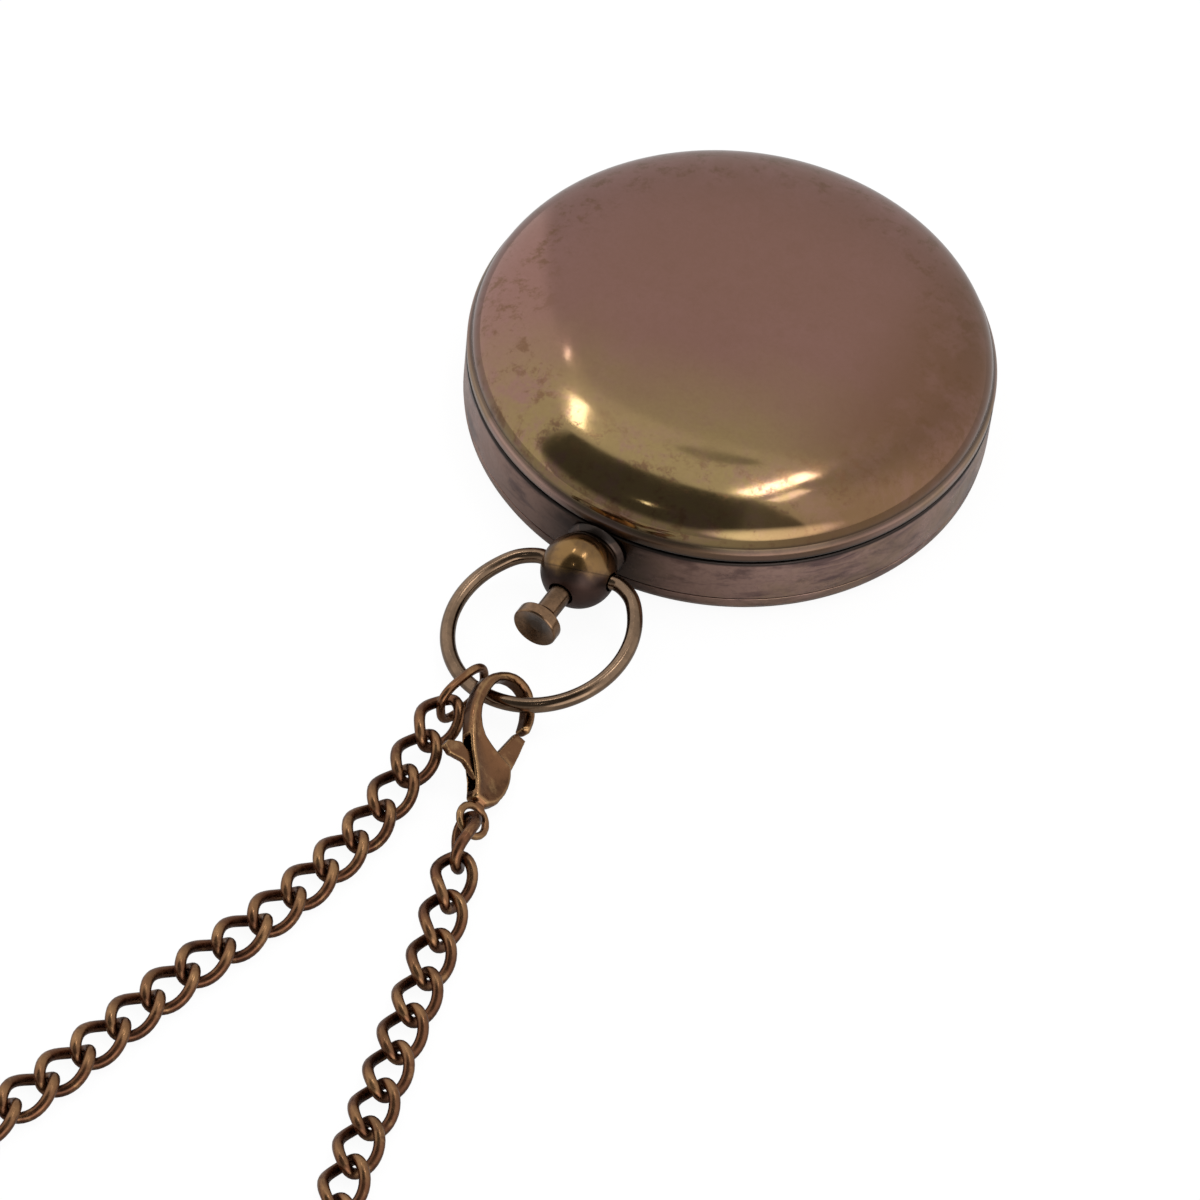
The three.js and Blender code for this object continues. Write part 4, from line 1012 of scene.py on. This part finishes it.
CLASP_PIVOT = Vector((4.8493, -51.3572, 1.7068))
CLASP_AXIS = Vector((0.6007, 0.1560, 0.7841))
CLASP_RELIEF = Vector((-1.986, 2.191, 1.085))
PLUG_RADIUS = 0.66
PLUG_REACH = (0.57, 0.89)
RELIEF_RADIUS = 0.4
RELIEF_HALF = 0.5
RIVET_RADIUS = 0.45
RIVET_HALF = 0.53
CLASP_LEAF_SHIFT = Vector((0.05, -0.24, 0.01)) * MM
CHEEK_LOW = 0.56 * MM
CHEEK_SWELL = 2.6 * MM
CHEEK_EDGE = 0.3
CHEEK_MIDDLE = 2.0
JUMP_HALF_LENGTH = 2.9
JUMP_HALF_WIDTH = 1.95
JUMP_WIRE = 0.42
JUMP_POWER = 2.8
JUMP_POINTS = 72
JUMP_HEADING = math.radians(-12)
JUMP_LEAN = math.radians(-7)


def clasp_bar(radius, start, end):
    """A round bar on the axis of the clasp's rivet"""
    bm = bar("Z", radius, start, end)
    turn = Vector((0, 0, 1)).rotation_difference(CLASP_AXIS).to_matrix().to_4x4()
    bm.transform(Matrix.Translation(CLASP_PIVOT) @ turn)
    return bm


def pillowed(mesh):
    """Swells the clasp's two cheeks so that they fall away towards their edges"""
    edges = []
    cheeks = []
    for vertex in mesh.vertices:
        offset = vertex.co - CLASP_PIVOT * MM
        height = offset.dot(CLASP_AXIS)
        flat = offset - CLASP_AXIS * height
        if abs(height) > CHEEK_LOW:
            cheeks.append((vertex, flat, height))
            if abs(vertex.normal.dot(CLASP_AXIS)) < 0.5:
                edges.append(flat)
    tree = KDTree(len(edges))
    for index, flat in enumerate(edges):
        tree.insert(flat, index)
    tree.balance()
    for vertex, flat, height in cheeks:
        share = min(tree.find(flat)[2] / CHEEK_SWELL, 1)
        swell = CHEEK_EDGE + (CHEEK_MIDDLE - CHEEK_EDGE) * math.sqrt(1 - (1 - share) ** 2)
        raised = CHEEK_LOW + (abs(height) - CHEEK_LOW) * swell
        vertex.co -= CLASP_AXIS * math.copysign(abs(height) - raised, height)
    mesh.update()


def mark_sides(mesh):
    """Stores how far each point faces out of the clasp's edge and not out of its cheeks; these sides are
    painted in shade
    """
    leans = [abs(vertex.normal.dot(CLASP_AXIS)) for vertex in mesh.vertices]
    return mark_points(mesh, "side", [max(0, 1 - lean / 0.7) for lean in leans])


def jump_ring():
    """An oval ring on edge, round the bow's wire"""
    oval = []
    for step in range(JUMP_POINTS):
        spot = polar(1, 2 * math.pi * step / JUMP_POINTS)
        across, up = (math.copysign(abs(value) ** (2 / JUMP_POWER), value) for value in spot)
        oval.append((across * JUMP_HALF_LENGTH, up * JUMP_HALF_WIDTH, 0))
    path = curve_through([*oval[-2:], *oval, *oval[:2]], 2)[4:4 + 2 * JUMP_POINTS]
    bm = tube(path, JUMP_WIRE, 16, closed=True)
    upright = Matrix.Rotation(math.pi / 2 - JUMP_LEAN, 4, "X")
    heading = Matrix.Rotation(JUMP_HEADING - math.pi / 2, 4, "Z")
    bm.transform(Matrix.Translation(middle("jump_ring") / MM) @ heading @ upright)
    return finish_mesh(bm, sharp=60)


class SUNDIAL_OT_clasp(Operator):
    """Lobster clasp with its gate and rivet, and the oval jump ring"""

    bl_idname = "sundial.clasp"
    bl_label = "Clasp and jump ring"

    def execute(self, context):
        copper = materials()["clasp"]
        plugs = [clasp_bar(PLUG_RADIUS, *ends) for ends in both_sides(*PLUG_REACH)]
        relief = clasp_bar(RELIEF_RADIUS, -RELIEF_HALF, RELIEF_HALF)
        relief.transform(Matrix.Translation(CLASP_RELIEF))
        body = cast_copy("clasp_body", 0.1, 22, added=plugs, cut=[relief], reshape=pillowed)
        piece("clasp", mark_sides(body), copper, "chain", "clasp_copper", "clasp_body")
        gate = cast_copy("clasp_lever", 0.08, 20)
        piece("clasp_gate", gate, copper, "lever", "clasp_copper", "clasp_lever")
        rivet = finish_mesh(clasp_bar(RIVET_RADIUS, -RIVET_HALF, RIVET_HALF))
        piece("clasp_rivet", rivet, copper, "chain", "clasp_copper", "clasp_pin")
        piece("ring_oval", jump_ring(), copper, "chain", "clasp_copper", "jump_ring")
        leaf = solid_copy("clasp_spring")
        leaf.transform(Matrix.Translation(CLASP_LEAF_SHIFT))
        piece("clasp_leaf", leaf, materials()["steel"], "chain", "spring_steel", "clasp_spring")
        return {"FINISHED"}


# Case and lid

HINGE = (0, 25.4, 6.1)
HINGE_Y, HINGE_Z = HINGE[1:]
HINGE_HALF = 5.3
KNUCKLE = 0.95
KNUCKLE_ROOM = 0.3
FIT = 0.2
SEAM = 0.1
BACK_FLOOR = 1.2
SPIGOT_HIGH = 0.8
SPIGOT_THICK = 0.7
LIP_TOP = 7.9
LIP_UNDER = 6.6
LIP_OUTSIDE = 23.7
LIP_INSIDE = 22.9
CASE_TOP = 7.3
LEAF_HALF = 1.9
LEAF_GAP = 2.2
SHELL = 0.8
SIDE_POWER = 3.0
TOP_POWER = 2.2
NOTCH_RADIUS = 0.9
NOTCH_TURN = math.radians(16 - 90)


class SUNDIAL_OT_case(Operator):
    """Bevelled back and case wall"""

    bl_idname = "sundial.case"
    bl_label = "Case"

    def execute(self, context):
        sizes = context.scene.sundial_case
        radius, thick, bevel, band = in_mm(sizes, "radius", "wall", "bevel", "band")
        material = materials()["case"]
        inside = radius - thick
        spigot = inside - FIT
        hollow = spigot - SPIGOT_THICK
        back = [
            (0, 0, 0), (radius - bevel, 0, 0.5), (radius - 0.5, 0.45, 0.6), (radius - 0.12, 1.2, 0.6),
            (radius, band, 0.08), (spigot, band, 0), (spigot, band + SPIGOT_HIGH, 0),
            (hollow, band + SPIGOT_HIGH, 0), (hollow, BACK_FLOOR, 0), (0, BACK_FLOOR, 0),
        ]
        piece("back", turned(back, sizes.sides), material, "case", "case_patina", "case_back")

        low = band + SEAM
        wall = [
            (inside, low, 0), (radius, low, 0.1), (radius, CASE_TOP, 0.28), (LIP_OUTSIDE, CASE_TOP, 0),
            (LIP_OUTSIDE, LIP_TOP, 0.1), (LIP_INSIDE, LIP_TOP, 0.1), (LIP_INSIDE, LIP_UNDER, 0),
            (inside, LIP_UNDER, 0),
        ]
        seat = HINGE_Y - KNUCKLE - FIT
        tools = [
            bar("Y", NECK + FIT, -radius - 1, 0, (0, 0, BALL_MIDDLE[2])),
            block((-HINGE_HALF, seat, HINGE_Z - 2.7), (HINGE_HALF, HINGE_Y, LIP_TOP)),
            bar("X", KNUCKLE + KNUCKLE_ROOM, -LEAF_GAP, LEAF_GAP, HINGE),
            block((-LEAF_GAP, 0, LIP_UNDER - 1), (LEAF_GAP, LIP_OUTSIDE + 0.05, LIP_TOP + 1)),
        ]
        mesh = combine(turned(wall, sizes.sides), tools, "DIFFERENCE")
        piece("wall", mesh, material, "case", "case_patina", "case_body")
        dress(material, "case_hinge_leaf")
        dress(materials()["bow"], "hinge_pin")
        dress(materials()["steel"], "lid_spring")
        return {"FINISHED"}


def dome(radius, height, foot, steps):
    """Half of a superellipse, from its foot to its crown"""
    points = []
    for step in range(steps):
        across, up = polar(1, step / steps * math.pi / 2)
        points.append((radius * across ** (2 / SIDE_POWER), foot + height * up ** (2 / TOP_POWER)))
    return [*points, (0, foot + height)]


class SUNDIAL_OT_lid(Operator):
    """Domed lid with its band, nail notch and inner ledges"""

    bl_idname = "sundial.lid"
    bl_label = "Lid"

    def execute(self, context):
        sizes = context.scene.sundial_case
        radius, band, inset, crown = in_mm(sizes, "radius", "lid_band", "lid_step", "dome")
        rim = LID_RIM
        foot = rim + band
        inside = radius - 1
        outer = dome(radius - inset, crown, foot + SEAM, 72)
        inner = dome(radius - inset - SHELL, crown - SHELL, foot, 24)
        edge = [
            (inside, foot - 0.2, 0), (inside, rim, 0.1), (radius, rim, 0.28), (radius, foot - 0.4, 0.5),
            (radius - 0.95 * inset, foot + 0.08, 0.3), (*outer[2], 0),
        ]
        profile = inner[::-1] + rounded(edge)[:-1] + outer[2:]
        mesh = finish_mesh(lathe(profile, sizes.sides))
        ledge = LIP_TOP + SEAM
        ledges = []
        for start, end in both_sides(inside - 0.9, inside + 0.25):
            ledges.append(block((-2, start, ledge), (2, end, ledge + 0.3)))
        mesh = combine(mesh, ledges, "UNION")
        notch = bar("Y", NOTCH_RADIUS, radius - 0.6, radius + 1)
        notch.transform(Matrix.Translation((0, 0, rim)) @ Matrix.Rotation(NOTCH_TURN, 4, "Z"))
        tools = [
            bar("X", KNUCKLE + KNUCKLE_ROOM, -HINGE_HALF, HINGE_HALF, HINGE),
            block((-LEAF_HALF, radius - 0.7, rim - 1), (LEAF_HALF, HINGE_Y, foot + 0.05)),
            notch,
        ]
        mesh = combine(mesh, tools, "DIFFERENCE")
        piece("lid_shell", mesh, materials()["lid"], "lid", "lid_patina", "lid")
        dress(materials()["lid"], "lid_hinge_leaf")
        return {"FINISHED"}


# Pendant

BALL_MIDDLE = (0, -28.3, 4.8)
BALL_FLAT = 2.3
CHAMBER_HALF = 1.85
CHAMBER_RADIUS = 1.75
NECK = 1.7
NECK_END = 4.3
NECK_BORE = 0.9
STEM = 1.05
STEM_TIP = 0.7
STEM_STEP = -0.15
STEM_END = 5.4
COLLAR_TOP = 3.2
BUTTON_REACH = 4.65
BUTTON_THICK = 1.25
FLANGE = 1.55
FLANGE_LOW = -1.75
FLANGE_HIGH = -1.35
PENDANT_SIDES = 96
BOW_HOLE = (2.25, 5)
BOW_ENDS = (-1.1, -0.3, 0.7)
BOW_ANGLES = range(44, 317, 16)
BOW_REACH = 7.1
BOW_FRAME = Matrix.Translation(BALL_MIDDLE) @ Matrix.Rotation(math.radians(-9.5), 4, "Y")
BOW_DROOP = Matrix.Rotation(math.radians(8.5), 4, "X")


class SUNDIAL_OT_pendant(Operator):
    """Ball, collar and dished push button with its coil and the catch's leaf"""

    bl_idname = "sundial.pendant"
    bl_label = "Pendant"

    def execute(self, context):
        sizes = context.scene.sundial_pendant
        ball, collar, head, wire = in_mm(sizes, "ball", "collar", "button", "bow_wire")
        made = materials()
        bore = STEM + FIT
        turns = np.linspace(-math.acos(bore / ball), math.asin(BALL_FLAT / ball), 49)
        profile = [polar(ball, turn) for turn in turns]
        profile += [
            (NECK, BALL_FLAT), (NECK, NECK_END), (NECK_BORE, NECK_END), (NECK_BORE, CHAMBER_HALF),
            (CHAMBER_RADIUS, CHAMBER_HALF), (CHAMBER_RADIUS, -CHAMBER_HALF), (bore, -CHAMBER_HALF),
        ]
        mesh = finish_mesh(lathe(profile, PENDANT_SIDES, "Y", BALL_MIDDLE))
        holes = [bar("X", wire + FIT, *ends) for ends in both_sides(*BOW_HOLE)]
        for hole in holes:
            hole.transform(BOW_FRAME)
        mesh = combine(mesh, holes, "DIFFERENCE")
        piece("ball", mesh, made["ball"], "case", "brass", "pendant_ball")

        bore = NECK + FIT
        foot = BALL_FLAT + SEAM
        profile = [
            (bore, foot, 0), (collar - 0.3, foot, 0.4), (collar, COLLAR_TOP, 0.1),
            (bore, COLLAR_TOP, 0),
        ]
        mesh = turned(profile, PENDANT_SIDES, "Y", BALL_MIDDLE)
        piece("collar", mesh, made["case"], "case", "brass", "pendant_collar")

        face = -(ball + BUTTON_REACH)
        back = face + BUTTON_THICK
        profile = [
            (0, face + 0.45, 0), (head * 0.3, face + 0.42, 0.3), (head * 0.72, face + 0.16, 0.5),
            (head - 0.12, face, 0.06), (head, face + 0.15, 0.08), (head, back - 0.1, 0.1),
            (head - 0.15, back, 0.1), (STEM + 0.3, back + 0.2, 0.3), (STEM, back + 0.8, 0.4),
            (STEM, FLANGE_LOW, 0), (FLANGE, FLANGE_LOW, 0), (FLANGE, FLANGE_HIGH, 0),
            (STEM, FLANGE_HIGH, 0), (STEM, STEM_STEP, 0), (STEM_TIP, STEM_STEP, 0),
            (STEM_TIP, STEM_END, 0), (0, STEM_END, 0),
        ]
        mesh = turned(profile, 72, "Y", BALL_MIDDLE)
        piece("button_head", mesh, made["button"], "button", "bow_brass", "push_button")

        mesh = solid_copy("button_spring")
        coil = piece("button_coil", mesh, made["steel"], "case", "spring_steel", "button_spring")
        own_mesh(coil)
        mesh = solid_copy("catch_spring")
        paint(mesh, made["steel"])
        catch = placed(mesh, "catch_leaf")
        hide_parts("catch_spring")
        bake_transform(catch)
        return {"FINISHED"}


class SUNDIAL_OT_bow(Operator):
    """Bow ring of round wire whose ends turn into the ball"""

    bl_idname = "sundial.bow"
    bl_label = "Bow"

    def execute(self, context):
        ball, wire, radius = in_mm(context.scene.sundial_pendant, "ball", "bow_wire", "bow")
        ends = [ball + end for end in BOW_ENDS]
        route = [(-x, 0, 0) for x in ends]
        for angle in BOW_ANGLES:
            ahead, side = polar(radius, math.radians(angle))
            route.append((-side, ahead - BOW_REACH, 0))
        route += [(x, 0, 0) for x in reversed(ends)]
        bm = tube(curve_through(route, 12), wire, 20)
        bm.transform(BOW_FRAME @ BOW_DROOP)
        piece("bow", finish_mesh(bm), materials()["bow"], "bow", "bow_brass", "bow_ring")
        return {"FINISHED"}


# Compass and sundial

INK = 0.04
CARD_HOLE = 0.95
CARD_RADIUS = 22.6
CARD_UNDER = 1.3
DIAL_TOP = 1.8
TICK_RIM = 19.4
TICKS = ((2, 0.9, 0.12), (10, 1.6, 0.2), (30, 2.2, 0.32))
POINTS = (("N", -90), ("E", 180), ("S", 90), ("W", 0))
POINT_RADIUS = 15.2
POINT_SIZE = 3.4
ROSE_DARTS = 16
ROSE_INNER = 2.6
ROSE_OUTER = 12.2
SHORT_DART = 0.72
SPACER_INSIDE = 20
SPACER_LOW = 1.9
SPACER_HIGH = 4.5
GLASS_RADIUS = 21.2
GLASS_LOW = 4.6
GLASS_HIGH = 5.5
NEEDLE_OUTLINE = [(0, -15.5), (1.7, -1.5), (1.7, 1.5), (0, 15.5), (-1.7, 1.5), (-1.7, -1.5)]
NEEDLE_ROWS = ((3.1, 1, 1), (3.24, 1, 1), (3.4, 0.3, 0.98))
NEEDLE_HOLE = 1.15
RING_TOP = 6.5
RING_UNDER = 5.6
RING_INSIDE = 15
RING_OUTSIDE = 23.5
RIM_LINE = (22.1, 22.3)
LUG_HALF = 1.1
LUG_REACH = (14.3, 16.1)
PIN_BORE = 0.6
GNOMON_Z = 7.5
STYLE_FOOT = 14
HOURS = [*range(-6, 0), *range(1, 7)]
LINE_RADIUS = 16.6
LINE_SIZE = (2.2, 0.2)
FIGURE_RADIUS = 19.8
FIGURE_SIZE = 2.9
LATITUDE = math.radians(30)


def mark_bars():
    """Thin bars"""
    labels = ("Length", "Width", "Height")
    g = Copies("marks", dict.fromkeys(labels, "Float"))
    size = g.out("ShaderNodeCombineXYZ", {axis: g.given[label] for axis, label in enumerate(labels)})
    return g.spread(g.out("GeometryNodeMeshCube", {"Size": size}))


def printed_bars(bars, rows, top, length, width):
    """Bars of ink on a dial; each row is the middle of a bar and its turn"""
    places = [(Vector((x, y, top + INK / 2)) * MM, (0, 0, turn)) for x, y, turn in rows]
    return bars.grown(places, {"Length": length * MM, "Width": width * MM, "Height": INK * MM})


def lettering(text, size, place, turn, top):
    """Generic dial figures as a thin mesh"""
    curve = bpy.data.curves.new("figure", "FONT")
    curve.body = text
    curve.size = size * MM
    curve.align_x = "CENTER"
    curve.align_y = "CENTER"
    curve.extrude = INK / 2 * MM
    mesh = evaluated(placed(curve, "figure"))
    spot = Vector((*place, top + INK / 2)) * MM
    mesh.transform(Matrix.Translation(spot) @ Matrix.Rotation(turn, 4, "Z"))
    return mesh


def compass_rose():
    """A flat star of thin pointed darts, every other one shorter"""
    bm = bmesh.new()
    levels = (DIAL_TOP, DIAL_TOP + INK)
    half = math.pi / ROSE_DARTS
    for number in range(ROSE_DARTS):
        turn = 2 * half * number
        reach = ROSE_OUTER * SHORT_DART if number % 2 else ROSE_OUTER
        spots = [(0, 0), polar(ROSE_INNER, turn + half), polar(reach, turn)]
        stack(bm, [[bm.verts.new((*spot, level)) for spot in spots] for level in levels])
    return bm


def needle_blade():
    """A lozenge with a bevelled top"""
    bm = bmesh.new()
    rows = []
    for z, across, along in NEEDLE_ROWS:
        rows.append([bm.verts.new((x * across, y * along, z)) for x, y in NEEDLE_OUTLINE])
    stack(bm, rows)
    return bm


class SUNDIAL_OT_compass(Operator):
    """Compass card with its rose and scale, needle on its post, spacer and glass"""

    bl_idname = "sundial.compass"
    bl_label = "Compass"

    def execute(self, context):
        sides = context.scene.sundial_case.sides
        made = materials()
        card = turned(hoop(CARD_HOLE, CARD_RADIUS, CARD_UNDER, DIAL_TOP), sides)
        piece("card", card, made["card"], "case", "dial_card", "compass_dial")

        bars = mark_bars()
        meshes = []
        for step, length, width in TICKS:
            turns = [math.radians(angle) for angle in range(0, 360, step)]
            rows = [(*polar(TICK_RIM - length / 2, turn), turn) for turn in turns]
            meshes.append(printed_bars(bars, rows, DIAL_TOP, length, width))
        for text, angle in POINTS:
            turn = math.radians(angle)
            spot = polar(POINT_RADIUS, turn)
            meshes.append(lettering(text, POINT_SIZE, spot, turn + math.pi / 2, DIAL_TOP))
        meshes.append(finish_mesh(compass_rose()))
        piece("card_print", merged(meshes), made["ink"], "case", "dial_card")

        spacer = hoop(SPACER_INSIDE, GLASS_RADIUS, SPACER_LOW, SPACER_HIGH, inner_fillet=0.2)
        piece("spacer", turned(spacer, sides), made["brass"], "case", "brass", "spacer_ring")
        glass = [
            (0, GLASS_LOW, 0), (GLASS_RADIUS, GLASS_LOW, 0.1),
            (GLASS_RADIUS, GLASS_HIGH, 0.1), (0, GLASS_HIGH, 0),
        ]
        piece("window", turned(glass, sides), made["glass"], "case", "clear_glass", "glass")

        hole = bar("Z", NEEDLE_HOLE, 2, 5)
        mesh = combine(finish_mesh(needle_blade(), sharp=10), [hole], "DIFFERENCE")
        piece("pointer", shade(mesh, sharp=10), made["needle"], "needle", "blued_steel", "needle")
        cap = [
            (0, 3.7, 0), (0.75, 2.8, 0), (0.95, 2.8, 0), (0.95, 3.5, 0), (1.45, 3.5, 0.05),
            (1.3, 3.85, 0.1), (0.6, 4.1, 0.2), (0, 4.2, 0),
        ]
        piece("cap", turned(cap, 48), made["brass"], "needle", "brass", "needle_cap")
        dress(made["brass"], "pivot_post")
        return {"FINISHED"}


def hour_angle(hour):
    """Angle of an hour line from noon, for a level dial"""
    turn = math.radians(15 * hour)
    return math.atan2(math.sin(LATITUDE) * math.sin(turn), math.cos(turn))


def on_ring(angle, radius):
    """Where an hour line from the style's foot crosses a circle about the middle"""
    way = Vector((-math.sin(angle), -math.cos(angle)))
    start = Vector((0, STYLE_FOOT))
    along = start.dot(way)
    reach = -along + math.sqrt(along**2 - start.length_squared + radius**2)
    return start + way * reach, way


class SUNDIAL_OT_sundial(Operator):
    """Hour ring with its lugs, hour lines and figures, and the gnomon"""

    bl_idname = "sundial.sundial"
    bl_label = "Sundial"

    def execute(self, context):
        sides = context.scene.sundial_case.sides
        made = materials()
        mesh = turned(hoop(RING_INSIDE, RING_OUTSIDE, RING_UNDER, RING_TOP, 0.1, 0.1), sides)
        lugs = []
        for start, end in both_sides(*LUG_REACH):
            lugs.append(block((-LUG_HALF, start, RING_TOP - 0.45), (LUG_HALF, end, GNOMON_Z + LUG_HALF)))
        mesh = combine(mesh, lugs, "UNION")
        tools = [bar("Y", PIN_BORE, -25, 25, (0, 0, GNOMON_Z))]
        for start, end in both_sides(LIP_INSIDE - 1.65, 25):
            tools.append(block((-LEAF_HALF, start, RING_UNDER - 1), (LEAF_HALF, end, RING_TOP + 1)))
        mesh = combine(mesh, tools, "DIFFERENCE")
        piece("hours", mesh, made["brass"], "case", "brass", "hour_ring")

        lines, figures = [], []
        for hour in HOURS:
            angle = hour_angle(hour)
            spot, way = on_ring(angle, LINE_RADIUS)
            lines.append((*spot, math.atan2(way.y, way.x)))
            spot, _ = on_ring(angle, FIGURE_RADIUS)
            text = str(hour if hour > 0 else 12 + hour)
            facing = math.atan2(spot.y, spot.x) + math.pi / 2
            figures.append(lettering(text, FIGURE_SIZE, spot, facing, RING_TOP))
        bars = printed_bars(mark_bars(), lines, RING_TOP, *LINE_SIZE)
        rim = turned(hoop(*RIM_LINE, RING_TOP, RING_TOP + INK), sides)
        piece("hour_print", merged([bars, *figures, rim]), made["ink"], "case", "brass")
        dress(made["brass"], "gnomon", "gnomon_pin_south", "gnomon_pin_north")
        return {"FINISHED"}


class SUNDIAL_PT_panel(Panel):
    """Lists what this file builds"""

    bl_label = "Pocket sundial"
    bl_idname = "SUNDIAL_PT_panel"
    bl_space_type = "VIEW_3D"
    bl_region_type = "UI"
    bl_category = "Sundial"

    def draw(self, context):
        for operator in OPERATORS:
            self.layout.operator(operator.bl_idname)


OPERATORS = (
    SUNDIAL_OT_stage,
    SUNDIAL_OT_clasp,
    SUNDIAL_OT_chain,
    SUNDIAL_OT_case,
    SUNDIAL_OT_lid,
    SUNDIAL_OT_pendant,
    SUNDIAL_OT_bow,
    SUNDIAL_OT_compass,
    SUNDIAL_OT_sundial,
)
SETTINGS = {
    "sundial_case": CaseSizes,
    "sundial_pendant": PendantSizes,
    "sundial_chain": ChainSizes,
    "sundial_finishes": Finishes,
    "sundial_stage": StageSettings,
}


def register():
    for name, group in SETTINGS.items():
        bpy.utils.register_class(group)
        setattr(bpy.types.Scene, name, PointerProperty(type=group))
    for cls in (*OPERATORS, SUNDIAL_PT_panel):
        bpy.utils.register_class(cls)


def unregister():
    for cls in (*OPERATORS, SUNDIAL_PT_panel):
        bpy.utils.unregister_class(cls)
    for name, group in SETTINGS.items():
        delattr(bpy.types.Scene, name)
        bpy.utils.unregister_class(group)


def main():
    register()
    bpy.ops.sundial.stage()
    bpy.ops.sundial.clasp()
    bpy.ops.sundial.chain()
    bpy.ops.sundial.case()
    bpy.ops.sundial.lid()
    bpy.ops.sundial.pendant()
    bpy.ops.sundial.bow()
    bpy.ops.sundial.compass()
    bpy.ops.sundial.sundial()


if __name__ == "__main__":
    main()
